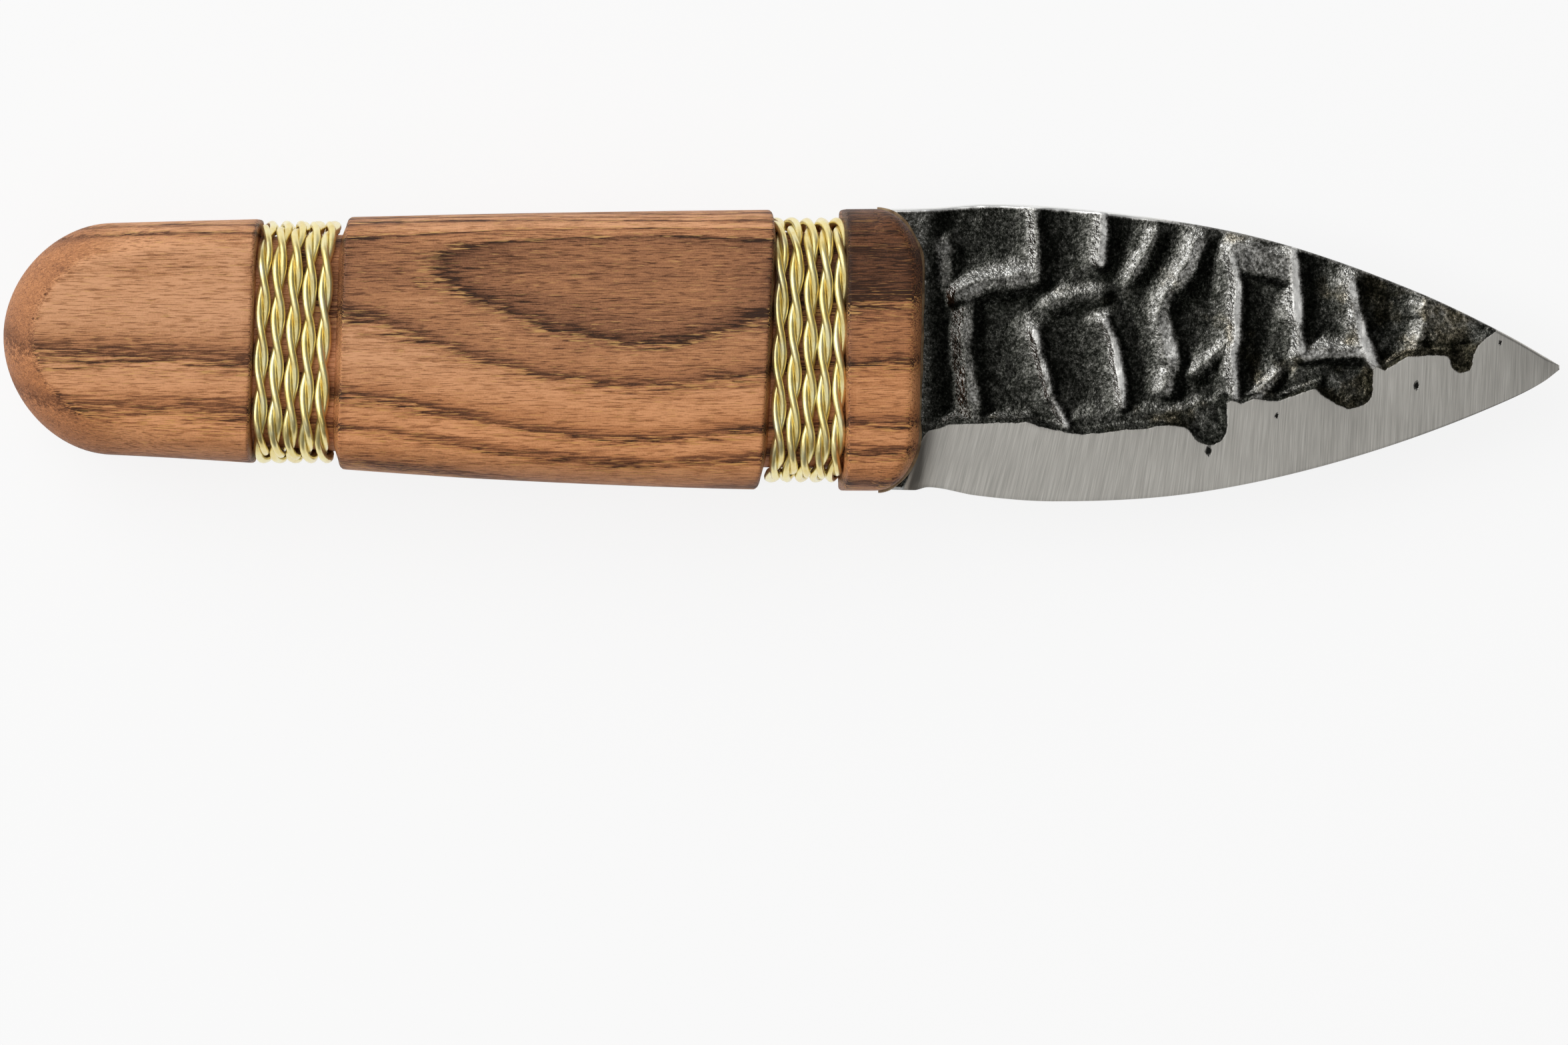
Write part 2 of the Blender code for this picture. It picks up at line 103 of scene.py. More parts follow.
# Grooves for the bindings: where the wood's edges are at mid height, how far each wall slopes in,
# the slope of each edge across the handle, depth, and the wood's top and bottom there
GROOVES = {
    "rear": {"left": -54.35, "right": -45.3, "left_taper": 0.05, "right_taper": 0.6,
             "left_slant": 0.033, "right_slant": 0.035, "depth": 1.8, "top": 13.77, "bottom": -11.58},
    "front": {"left": -1.3, "right": 6.72, "left_taper": 0.55, "right_taper": 0.05,
              "left_slant": 0.053, "right_slant": 0.003, "depth": 2.3, "top": 14.63, "bottom": -14.05},
}
FLOOR_CORNER_Y = 3.6
FLOOR_CORNER_Z = 4.6
FRONT_SLANT = 0.0216
LEAN_ROUNDS = 4

# How far the cross-cuts bow along the handle as the face falls away
BOW = {"rear": -0.07, "front": 0.10}

# Burnt wood at the groove edges, and end grain on the rounded butt, with open pores and a painted shadow
# line along the crease where it starts
BURN_FROM = -0.02
BURN_REACH = 0.9
BURN_UNEVEN = 0.6
END_GRAIN_FADE = (-66.0, -74.0)
END_GRAIN_EDGE = (1.05, 0.8)
END_GRAIN_UNEVEN = 0.25
CREASE_WIDTH = 0.8

# Bindings: two strands twisted together, five turns in each groove.
# Each binding has its middle, its turn spacing, its slope across the handle,
# and how far from mid height the strands cross on each turn of the shown side
STRAND_RADIUS = 0.40
TWIST_RADIUS = 0.395
HALF_TWIST = 5.35
WIRE_TO_FLOOR = STRAND_RADIUS + TWIST_RADIUS + 0.02
TURNS = 5
BINDINGS = {
    "rear": {"x": -50.1, "spacing": 1.6, "slant": 0.033, "crossings": [0.9, -0.26, -1.15, -2.7, -2.5]},
    "front": {"x": 2.8, "spacing": 1.55, "slant": 0.02, "crossings": [2.1, -0.14, -2.0, -2.2, -0.96]},
}
SHOWN_REACH = 12.0
ANCHOR_Y = 6.0
ANCHOR_BEND = 1.1
ANCHOR_DEPTH = 2.6
ANCHOR_TURN = np.array([(0.35, 0.04), (0.62, 0.14), (0.85, 0.32), (1.0, 0.52), (ANCHOR_BEND, 1.1),
                        (ANCHOR_BEND, ANCHOR_DEPTH)])
JOG_HALF_LENGTH = 4.0
TURN_WANDER = 0.06
STRAND_SIDES = 12
POINTS_PER_HALF_TWIST = 9
CORNER_STEPS = 30
LAP_STEPS = 4000
LAP_LOOK = 12

# Glue squeezed out where the blade enters the wood
BEAD_RADIUS = 0.26
BEAD_PUSH = 0.02
BEAD_UNEVEN = 0.10

# Blade outline, from the shoulder to the tip
SHOULDER_X = 11.3
TIP_X = 80.0
SPINE = [(11.3, 14.8), (15.5, 14.9), (21.0, 15.3), (35.0, 14.3), (50.0, 11.6), (65.0, 6.4), (75.0, 1.6),
         (80.0, -1.3)]
EDGE = [(11.3, -14.1), (13.6, -14.15), (15.0, -13.85), (20.0, -14.7), (28.0, -15.3), (42.0, -14.5),
        (58.0, -11.0), (74.0, -5.2), (78.5, -2.9), (80.0, -1.75)]
BLADE_HALF = 1.5
GRIND_LINE_HALF = 1.3
BEVEL_FROM_X = 12.5
GRIND_WIDTH = [(12.3, 0.0), (15.4, 6.6), (19.7, 7.7), (23.0, 8.0), (28.0, 7.6), (38.0, 7.6), (41.0, 8.0),
               (46.0, 8.9), (50.0, 8.6), (55.0, 8.0), (61.0, 8.7), (65.0, 8.1), (74.0, 7.2), (80.0, 7.0)]
LEAST_WIDTH = 0.05
EDGE_HALF = 0.03
SLOPE_STEP = 0.2
SPINE_EASE = 0.35
SPINE_EASE_SHARE = 0.15
SPINE_FALL = 0.42
SPINE_ROUNDING = np.array([0.25, 0.5, 0.72, 0.9, 1.0])
# A worn band along the rounded spine, pushed brighter than the ridges into a painted highlight line, fading
# towards the tip
SPINE_WEAR_AND_HIGHLIGHT = 1.4
SPINE_HIGHLIGHT_BAND = (0.45, 0.25)
SPINE_HIGHLIGHT_FADE = (34.0, 44.0)
SPINE_HIGHLIGHT_LOSS = 0.7
FIRST_ROW_SHARE = 0.01
BLADE_STATIONS = 342
BLADE_ROWS = 112
BODY_END_X = TIP_X - 0.4
TIP_STATIONS = [TIP_X - 0.15, TIP_X - 0.04, TIP_X]

# Tang
TANG_END_X = -58.0
TANG_FRONT_HALF = 7.5
TANG_END_HALF = 4.25
TANG_MIDDLE_Y = 0.8
TANG_CLEARANCE = 1.1
TANG_STATIONS = np.array([TANG_END_X, TANG_END_X + 0.3, -40.0, -20.0, 0.0, SHOULDER_X - 0.2])
POCKET_FRONT_X = 12.0
SLOT_BACK_X = SHOULDER_X - 0.3
SLOT_REACH = 20.0
SLOT_CLEARANCE = 0.06

# Where the grinding stopped: below this line is bare steel, above it forge scale.
# Rounded lobes of scale hang below it: radius, and points along the middle of each
GRIND_LINE = [
    (12.5, -14.2), (14.0, -10.0), (15.0, -8.0), (17.0, -7.5), (25.0, -7.2), (28.0, -8.0), (31.0, -8.5),
    (36.5, -7.9), (40.0, -7.5), (42.0, -7.6), (45.3, -4.7), (47.2, -5.3), (48.5, -4.8), (51.0, -5.0),
    (54.4, -3.8), (60.3, -0.9), (62.0, -1.8), (64.6, -0.4), (68.3, -0.2), (71.0, 0.2), (72.0, 1.1),
    (73.5, 2.2),
]
SCALE_LOBES = [
    (1.9, [(42.8, -6.0), (44.0, -7.6), (43.9, -6.0)]),
    (2.05, [(57.0, -3.0), (58.7, -3.7), (58.7, -1.5)]),
    (1.2, [(69.9, 0.6), (69.9, -0.9)]),
]
LOBE_FILLET = 0.3
ABOVE_SPINE = 22.0
UNDER_WOOD_X = 10.5
MEETING_WIDTH = 1.0
FIELD_REACH = 2.0
LINE_WANDER = 0.10
WANDER_SIZE = 1.1

# Hammer dents and the ridges left between them; slopes that face the softbox at the upper left get a
# painted highlight and slopes that face away a painted shade, a little way in from the grind line
DENT_DEPTH = 0.85
DENTS_START = (18.5, 14.3)
HEEL_LIFT = 0.95
DISH_REACH = 3.2
STEEP_SHARE = 0.28
STEEP_UNEVEN = 0.14
RIDGE_UNEVEN = 0.35
WEAR_FADE = (0.55, -0.40)
COARSE_GRAIN = 0.05
FINE_GRAIN = 0.03
# Direction towards the softbox across the face, for the painted highlight and painted shade on the slopes
FACING = (0.80, -0.85)
FACING_FROM_LINE = (0.15, 1.1)

# Each ridge: height as a share of the dents' depth, width of the steep wall beside the top,
# half the top's width, how far the top is worn to bare metal, and points along the top
RIDGES = {
    "heel_mound": (0.5, 1.5, 0.7, 0.35, [(16.5, 11.0), (17.0, 7.0)]),
    "heel_bevel": (0.8, 1.8, 0.15, 0.15, [(14.2, -8.0), (16.2, -7.6), (25.0, -7.6)]),
    "first": (0.7, 1.6, 0.5, 0.45, [(19.2, 5.3), (19.0, 1.5), (19.5, -3.0), (20.0, -7.2)]),
    "first_shelf": (0.95, 1.3, 0.7, 0.4, [(18.3, 6.0), (21.0, 6.9), (26.0, 7.6)]),
    "upper_first": (0.9, 0.7, 0.3, 0.55, [(26.0, 14.4), (26.4, 10.6), (26.3, 7.6)]),
    "second": (0.9, 0.6, 0.32, 0.85, [(26.0, 2.0), (27.0, -1.5), (27.9, -4.7), (29.3, -7.4)]),
    "second_shelf": (0.6, 1.4, 0.35, 0.25, [(27.8, 5.0), (29.5, 5.6), (32.8, 5.9)]),
    "upper_second": (0.9, 0.6, 0.4, 0.75, [(33.0, 14.6), (33.1, 12.0), (32.8, 9.3)]),
    "third": (0.9, 0.6, 0.32, 0.85, [(33.2, 3.3), (34.2, 1.0), (34.9, -2.7), (35.2, -5.5)]),
    "upper_third": (0.6, 1.3, 0.3, 0.35, [(38.5, 12.0), (37.4, 9.7), (36.0, 7.6)]),
    "fourth": (0.7, 1.2, 0.6, 0.55, [(39.8, 6.0), (39.2, 4.0), (40.4, -1.5), (39.6, -3.7)]),
    "upper_fourth": (0.8, 1.2, 0.65, 0.5, [(43.0, 11.2), (42.3, 9.1), (41.0, 7.0)]),
    "fifth": (1.0, 0.6, 0.36, 0.75, [(46.4, 9.7), (47.0, 7.0), (46.9, 2.0), (46.5, 0.0), (46.7, -4.7)]),
    "below_fourth": (0.6, 1.0, 0.35, 0.25, [(45.6, 0.3), (42.6, -2.0)]),
    "below_fifth": (0.6, 0.8, 0.3, 0.4, [(51.1, -2.2), (48.5, -5.2)]),
    "spine_flat": (0.9, 0.8, 1.3, 0.45, [(47.3, 9.7), (51.6, 8.8)]),
    "sixth": (1.0, 0.6, 0.4, 0.85, [(52.6, 10.8), (53.0, 5.7), (53.1, 3.5), (53.5, 0.2)]),
    "sixth_shelf": (0.85, 1.3, 0.45, 0.5, [(53.5, -0.2), (60.0, 0.0)]),
    "seventh": (0.95, 0.6, 0.5, 0.8, [(58.5, 7.0), (59.2, 4.0), (60.3, 0.4), (61.0, -1.4)]),
    "tip_edge": (0.7, 1.6, 0.3, 0.3, [(66.4, 6.0), (66.6, 3.7), (65.1, -0.5)]),
    "tip_flat": (0.7, 1.5, 1.3, 0.15, [(67.3, 4.4), (68.1, 2.4), (71.8, 2.4)]),
    "first_lobe_band": (0.5, 2.0, 0.7, 0.0, [(29.5, -7.4), (38.5, -6.7), (43.7, -6.8)]),
    "first_lobe": (0.45, 1.6, 1.5, 0.0, [(43.7, -6.8), (43.8, -8.2)]),
    "second_lobe": (0.45, 1.6, 1.2, 0.0, [(54.0, -2.3), (57.0, -3.0), (58.9, -4.2)]),
    "third_lobe": (0.5, 1.2, 0.95, 0.0, [(69.8, 0.6), (69.9, -1.4)]),
}


# Smooth lines and rough surfaces

def smooth_line(points, x):
    # A smooth curve through a few given points
    xs, ys = np.array(points).T
    steps = np.diff(ys) / np.diff(xs)
    slopes = np.concatenate([steps[:1], (steps[1:] + steps[:-1]) / 2, steps[-1:]])
    flat = np.concatenate([[False], steps[1:] * steps[:-1] <= 0, [False]])
    slopes[flat] = 0.0
    x = np.clip(np.asarray(x, dtype=float), xs[0], xs[-1])
    i = np.clip(np.searchsorted(xs, x) - 1, 0, len(xs) - 2)
    width = xs[i + 1] - xs[i]
    t = (x - xs[i]) / width
    return (ys[i] * (1 + 2 * t) * (1 - t) ** 2 + ys[i + 1] * t * t * (3 - 2 * t)
            + slopes[i] * width * t * (1 - t) ** 2 + slopes[i + 1] * width * t * t * (t - 1))


def ease(low, high, value):
    t = np.clip((value - low) / (high - low), 0.0, 1.0)
    return t * t * (3 - 2 * t)


def rounding(out):
    # How far a quarter round has fallen, from 0 where it starts to 1 at its outer end
    return 1 - np.sqrt(1 - out ** 2)


def lumps(x, y, size, seed):
    # Smooth random bumps from -1 to 1, about one size across
    cells = 256
    lattice = np.random.default_rng(seed).uniform(-1.0, 1.0, (cells, cells))
    u = x / size + cells / 2
    v = y / size + cells / 2
    i = np.floor(u).astype(int)
    j = np.floor(v).astype(int)
    s = ease(0.0, 1.0, u - i)
    t = ease(0.0, 1.0, v - j)
    near = lattice[i % cells, j % cells] * (1 - s) + lattice[(i + 1) % cells, j % cells] * s
    far = lattice[i % cells, (j + 1) % cells] * (1 - s) + lattice[(i + 1) % cells, (j + 1) % cells] * s
    return near * (1 - t) + far * t


def from_line(points, x, y):
    # Distance to a line of straight stretches
    nearest = np.full(x.shape, 1e9)
    for (ax, ay), (bx, by) in zip(points, points[1:]):
        run = max((bx - ax) ** 2 + (by - ay) ** 2, 1e-12)
        t = np.clip(((x - ax) * (bx - ax) + (y - ay) * (by - ay)) / run, 0, 1)
        nearest = np.minimum(nearest, np.hypot(x - ax - t * (bx - ax), y - ay - t * (by - ay)))
    return nearest


def depth_inside(corners, x, y):
    # Distance to an outline, positive inside it and negative outside
    closed = corners + corners[:1]
    inside = np.zeros(x.shape, dtype=bool)
    for (ax, ay), (bx, by) in zip(closed, closed[1:]):
        crosses = (ay > y) != (by > y)
        at = ax + (y - ay) * (bx - ax) / (by - ay if by != ay else 1e-9)
        inside ^= crosses & (x < at)
    nearest = from_line(closed, x, y)
    return np.where(inside, nearest, -nearest)


def ridges_at(x, y):
    # How far the ridges stand above the bottom of the dents, 0 to 1, and how worn they are
    lift = np.zeros_like(x)
    worn = np.zeros_like(x)
    steep = STEEP_SHARE + STEEP_UNEVEN * lumps(x, y, size=4.0, seed=15)
    uneven = 1 + RIDGE_UNEVEN * lumps(x, y, size=2.2, seed=16)
    for height, wall, half_width, wear, points in RIDGES.values():
        off = from_line(points, x, y) - half_width * uneven
        dish = (1 - np.clip(off / DISH_REACH, 0, 1)) ** 2
        lift = np.maximum(lift, height * (steep * ease(wall, 0.0, off) + (1 - steep) * dish))
        worn = np.maximum(worn, wear * uneven * ease(*WEAR_FADE, off))
    return lift, worn


# Meshes

def grid_faces(columns, rows):
    # Four-cornered faces of a grid that point up where X and Y grow with the grid
    index = np.arange(columns * rows).reshape(columns, rows)
    corners = [index[:-1, :-1], index[1:, :-1], index[1:, 1:], index[:-1, 1:]]
    return np.stack(corners, axis=-1).reshape(-1, 4)


def store(mesh, name, values):
    # One number or one direction for each point
    kind, field = ("FLOAT", "value") if values.ndim == 1 else ("FLOAT_VECTOR", "vector")
    layer = mesh.attributes.new(name, kind, "POINT")
    layer.data.foreach_set(field, values.astype(np.float32).reshape(-1))


def mesh_from(name, points, faces, fields=None):
    # A mesh of the points that the faces use, with what the fields say of them
    used, renumbered = np.unique(faces, return_inverse=True)
    mesh = bpy.data.meshes.new(name)
    mesh.from_pydata((points[used] * MM).tolist(), [], renumbered.reshape(faces.shape).tolist())
    mesh.validate()
    for field, values in (fields or {}).items():
        store(mesh, field, values[used])
    return mesh


def line_mesh(name, points):
    # Points joined one to the next by edges alone
    mesh = bpy.data.meshes.new(name)
    steps = np.arange(len(points) - 1)
    mesh.from_pydata((points * MM).tolist(), np.stack([steps, steps + 1], axis=1).tolist(), [])
    return mesh


def mesh_points(mesh):
    flat = np.empty(len(mesh.vertices) * 3)
    mesh.vertices.foreach_get("co", flat)
    return flat.reshape(-1, 3) / MM


def mend(mesh, gap, close=False):
    # Joins points that touch, closes open edges if asked, and turns the faces outward
    bm = bmesh.new()
    bm.from_mesh(mesh)
    bmesh.ops.remove_doubles(bm, verts=bm.verts, dist=gap * MM)
    if close:
        bmesh.ops.edgeloop_fill(bm, edges=[e for e in bm.edges if e.is_boundary])
    bmesh.ops.recalc_face_normals(bm, faces=bm.faces)
    bm.to_mesh(mesh)
    bm.free()
    return mesh


def placed(name, data):
    # A new object in the scene
    obj = bpy.data.objects.new(name, data)
    bpy.context.scene.collection.objects.link(obj)
    return obj


def worked_out(obj):
    # The mesh that an object's modifiers make of it; the object goes
    graph = bpy.context.evaluated_depsgraph_get()
    mesh = bpy.data.meshes.new_from_object(obj.evaluated_get(graph))
    bpy.data.objects.remove(obj, do_unlink=True)
    return mesh


def show(name, mesh, material, node):
    # A finished piece that stands for its part in the frame
    mesh.name = name
    mesh.materials.clear()
    mesh.materials.append(material)
    piece = placed(name, mesh)
    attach(piece, "root")
    if node:
        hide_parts(node)


# Shader sockets as values

class Tone:
    # A socket in a node tree; arithmetic on it adds Math nodes
    def __init__(self, nodes, socket):
        self.nodes = nodes
        self.socket = socket

    def math(self, operation, first, second=0.0):
        return self.nodes.node("ShaderNodeMath", {"operation": operation}, {0: first, 1: second})

    def __add__(self, other):
        return self.math("ADD", self, other)

    def __radd__(self, other):
        return self.math("ADD", other, self)

    def __sub__(self, other):
        return self.math("SUBTRACT", self, other)

    def __rsub__(self, other):
        return self.math("SUBTRACT", other, self)

    def __mul__(self, other):
        return self.math("MULTIPLY", self, other)

    def __rmul__(self, other):
        return self.math("MULTIPLY", other, self)

    def __truediv__(self, other):
        return self.math("DIVIDE", self, other)

    def __pow__(self, other):
        return self.math("POWER", self, other)

    def more_of(self, other):
        return self.math("MAXIMUM", self, other)

    def less_of(self, other):
        return self.math("MINIMUM", self, other)

    def rise(self, low, high):
        # 0 below low, 1 above high, eased between
        return self.nodes.node("ShaderNodeMapRange", {"interpolation_type": "SMOOTHSTEP", "clamp": True},
                               {"Value": self, "From Min": low, "From Max": high})


class Nodes:
    # A node tree that is filled one node at a time
    def __init__(self, tree):
        self.tree = tree

    def node(self, kind, settings=None, sockets=None, out=0):
        node = self.tree.nodes.new(kind)
        for name, value in (settings or {}).items():
            if name == "stops":
                self.set_stops(node.color_ramp, value)
            else:
                setattr(node, name, value)
        for name, value in (sockets or {}).items():
            self.feed(node.inputs[name], value)
        return Tone(self, node.outputs[out]) if len(node.outputs) else None

    def feed(self, socket, value):
        if isinstance(value, Tone):
            self.tree.links.new(value.socket, socket)
        elif socket.type == "RGBA" and len(value) == 3:
            socket.default_value = (*value, 1.0)
        else:
            socket.default_value = value

    def set_stops(self, ramp, stops):
        while len(ramp.elements) < len(stops):
            ramp.elements.new(1.0)
        for element, (place, value) in zip(ramp.elements, stops):
            element.position = place
            element.color = (*np.broadcast_to(value, 3), 1.0)

    def scaled(self, vector, share):
        return self.node("ShaderNodeVectorMath", {"operation": "SCALE"}, {0: vector, "Scale": share})

    def vector(self, operation, first, second, out=0):
        return self.node("ShaderNodeVectorMath", {"operation": operation}, {0: first, 1: second}, out)


class Finish(Nodes):
    # The nodes of a material or a world, around its first shader
    def __init__(self, owner):
        owner.use_nodes = True
        super().__init__(owner.node_tree)
        self.owner = owner
        self.shader = self.tree.nodes.get("Principled BSDF") or self.tree.nodes.get("Background")

    def place(self):
        # Where a point is on the knife, in millimetres
        return self.scaled(self.node("ShaderNodeTexCoord", out="Object"), 1.0 / MM)

    def split(self, vector):
        parts = self.node("ShaderNodeSeparateXYZ", sockets={0: vector}).socket.node
        return [Tone(self, output) for output in parts.outputs]

    def attribute(self, name):
        return self.node("ShaderNodeAttribute", {"attribute_name": name}, out="Fac")

    def noise(self, place, per_mm, detail=2.0, roughness=0.5, shift=(0.0, 0.0, 0.0)):
        spot = self.node("ShaderNodeVectorMath", {"operation": "MULTIPLY_ADD"},
                         {0: place, 1: per_mm, 2: shift})
        return self.cloudy(spot, 1.0, detail, roughness)

    def cloudy(self, spot, scale, detail, roughness):
        return self.node("ShaderNodeTexNoise", {}, {"Vector": spot, "Scale": scale, "Detail": detail,
                                                    "Roughness": roughness})

    def ramp(self, value, stops):
        return self.node("ShaderNodeValToRGB", {"stops": stops}, {0: value})

    def mix(self, share, first, second, blend="MIX"):
        return self.node("ShaderNodeMix", {"data_type": "RGBA", "blend_type": blend},
                         {0: share, 6: first, 7: second}, 2)

    def bump(self, height, distance_mm, strength=1.0):
        return self.node("ShaderNodeBump", {}, {"Height": height, "Distance": distance_mm * MM,
                                                "Strength": strength})

    def set(self, **values):
        for name, value in values.items():
            self.feed(self.shader.inputs[name.replace("_", " ").title()], value)
        return self.owner


def srgb(red, green, blue):
    # A colour as it is seen, 0 to 255, as the shader's linear values
    shares = [value / 255 for value in (red, green, blue)]
    return tuple(((s + 0.055) / 1.055) ** 2.4 if s > 0.04 else s / 12.92 for s in shares)


# Finishes

# Heart of the wood's figure, and how its rings spread from there and run straight at the butt
EYE_X = -12.9
EYE_Y = 8.52
EYE_STRETCH = 2.95
EYE_REACH = 12.0
EYE_FRONT_REACH = 8.0
EYE_FRONT_RISE = 7.2
EYE_SQUEEZE = 0.685
UNDER_SHARE = 0.8
RING_TOP = 30.0
BUTT_RING = 13.0
BUTT_RING_SHARE = 0.468
BUTT_GRAIN_X = -60.0
BUTT_GRAIN_SLOPE = 0.055

# How light the wood is at each distance from the heart of the figure, ring by ring
RING_TONES = [
    (0.0, 0.55), (4.2, 0.54), (6.3, 0.42), (7.4, 0.24), (8.2, 0.59), (9.4, 0.68), (10.8, 0.62),
    (11.9, 0.40), (12.9, 0.82), (14.4, 0.95), (16.1, 0.80), (17.3, 0.42), (18.1, 0.88), (19.0, 0.88),
    (19.8, 0.46), (20.7, 0.88), (22.2, 0.74), (23.0, 0.44), (23.8, 0.70), (26.0, 0.64), (26.6, 0.44),
    (27.4, 0.64),
]
RING_LINES = [7.4, 11.9, 17.3, 19.8, 23.0, 26.6]

WOOD_COLOURS = [
    (0.0, srgb(62, 38, 24)), (0.3, srgb(127, 82, 54)), (0.5, srgb(170, 115, 78)), (0.7, srgb(202, 140, 94)),
    (1.0, srgb(242, 179, 132)),
]


def walnut():
    finish = Finish(bpy.data.materials.new("oiled_walnut"))
    place = finish.place()
    x, y, z = finish.split(place)

    # Streaks along the handle, from broad to hair-fine
    clouds = finish.noise(place, (0.07, 0.45, 0.45), 3.0, 0.55, (3.0, 13.0, 23.0)) - 0.5
    streaks = finish.noise(place, (0.15, 2.6, 2.6), 2.0, 0.6, (9.0, 2.0, 6.0)) - 0.5
    fibres = finish.noise(place, (0.40, 9.0, 9.0), 3.0, 0.7, (11.0, 5.0, 17.0)) - 0.5
    sanding = finish.noise(place, (5.5, 5.5, 5.5), 2.0, 0.7, (1.0, 8.0, 4.0)) - 0.5
    sway = finish.noise(place, (0.035, 0.16, 0.16), 2.0) - 0.5

    # Distance from the heart of the figure, drawn out along the handle; the butt has almost straight grain
    fall = EYE_Y - y + sway * 1.2
    back = (EYE_X - x).more_of(0.0) / (EYE_STRETCH - fall.rise(0.5, 6.0) * 0.6)
    front = (x - EYE_X).more_of(0.0) / EYE_FRONT_REACH
    along = back / (1 + (back / EYE_REACH) ** 6.0) ** (1 / 6)
    along = along + EYE_FRONT_RISE * (1 - front.math("EXPONENT", front * -1.0))
    above = (0.0 - fall).more_of(0.0)
    across = fall.more_of(0.0) + above * above * EYE_SQUEEZE
    under = (2 * MIDDLE_Z - z) * UNDER_SHARE
    rings = (along * along + across * across + under * under) ** 0.5
    slant = (x - BUTT_GRAIN_X) * BUTT_GRAIN_SLOPE
    straight = BUTT_RING + (across - slant + under * 0.4) * BUTT_RING_SHARE
    at_butt = 1 - x.rise(-54.0, -46.0)
    ring = rings + (straight - rings) * at_butt + streaks * 2.3 + fibres * 1.5
    step = ring / RING_TOP

    tone = finish.ramp(step, [(r / RING_TOP, t) for r, t in RING_TONES])
    lines = []
    beyond = []
    for r in RING_LINES:
        lines += [((r - 0.75) / RING_TOP, 0.0), ((r - 0.05) / RING_TOP, 1.0), ((r + 0.35) / RING_TOP, 0.0)]
        beyond += [((r - 0.1) / RING_TOP, 0.0), ((r + 0.3) / RING_TOP, 1.0), ((r + 1.2) / RING_TOP, 0.0)]
    line = finish.ramp(step, lines)
    after_line = finish.ramp(step, beyond)

    # Dark pores and golden flecks gather along the ring lines
    pores = finish.noise(place, (0.20, 4.6, 4.6), 2.0, 0.6, (21.0, 3.0, 9.0))
    dashes = finish.noise(place, (0.55, 8.5, 8.5), 1.0, 0.5, (41.0, 13.0, 5.0))
    pore = (pores + line * 0.16).rise(0.61, 0.71).more_of((dashes + line * 0.12).rise(0.56, 0.69) * 0.9)
    flecks = finish.noise(place, (0.50, 7.5, 7.5), 1.0, 0.5, (31.0, 7.0, 3.0))
    fleck = (flecks + after_line * 0.16).rise(0.64, 0.74)

    # The rounded butt shows the ends of the fibres, with a row of open pores and a painted shadow line
    # where it starts
    burn = finish.attribute("burnt_edge")
    end = finish.attribute("end_grain")
    crease = finish.attribute("butt_crease")
    drawn_out = finish.vector("MULTIPLY", place, (0.5, 1.9, 1.9))
    openings = finish.node("ShaderNodeTexVoronoi", {"feature": "F1"}, {"Vector": drawn_out, "Scale": 1.0})
    opening = (1 - openings.rise(0.16, 0.30)) * (crease + end * 0.25).less_of(1.0)

    tone = tone + (0.52 - tone) * end * 0.6
    collar = x.rise(5.0, 7.0)
    stain_edge = y - (x - 10.4) * 0.33 + streaks * 4.0 + clouds * 3.0
    stain = collar * stain_edge.rise(5.4, 7.6) * z.rise(0.0, 14.0)
    tone = tone + (0.22 - tone) * stain * 0.95
    corner = x.rise(-46.0, -45.0) * (1 - x.rise(-45.0, -33.0)) * y.rise(3.0, 10.0)
    # The crease where the rounded butt starts is darkened as a painted shadow line
    shade = (tone + 0.02 + at_butt * 0.03 + clouds * 0.35 + streaks * 0.40 + fibres * 0.95 + sanding * 0.40
             - pore * (0.36 - end * 0.26) - burn * 0.22 - corner * 0.18 - collar * 0.07 - end * 0.12
             - crease * 0.14 - opening * 0.40)
    colour = finish.ramp(shade, WOOD_COLOURS)
    colour = finish.mix(fleck * 0.75 * (1 - end) * (1 - stain * 0.7), colour, srgb(232, 180, 112))
    warm = (3.0 - y).rise(0.0, 12.0) + x.rise(5.0, 9.0) * 0.6 + end * 0.5
    colour = finish.mix(warm.less_of(1.0), colour, (1.0, 0.90, 0.77), "MULTIPLY")

    relief = fibres * 0.6 - pore * 0.6 + sanding * 0.3 - opening * 1.5
    gloss = 0.50 + pore * 0.14 - fibres * 0.14 - burn * 0.06
    finish.feed(finish.shader.inputs["Specular IOR Level"], 0.28)
    return finish.set(base_color=colour, roughness=gloss, normal=finish.bump(relief, 0.08, 0.8))


# Small pits left in the bevel: place and size
PITS = [(43.9, -10.1, 0.40), (50.9, -6.5, 0.22), (65.3, -3.4, 0.34), (73.9, 1.0, 0.18)]


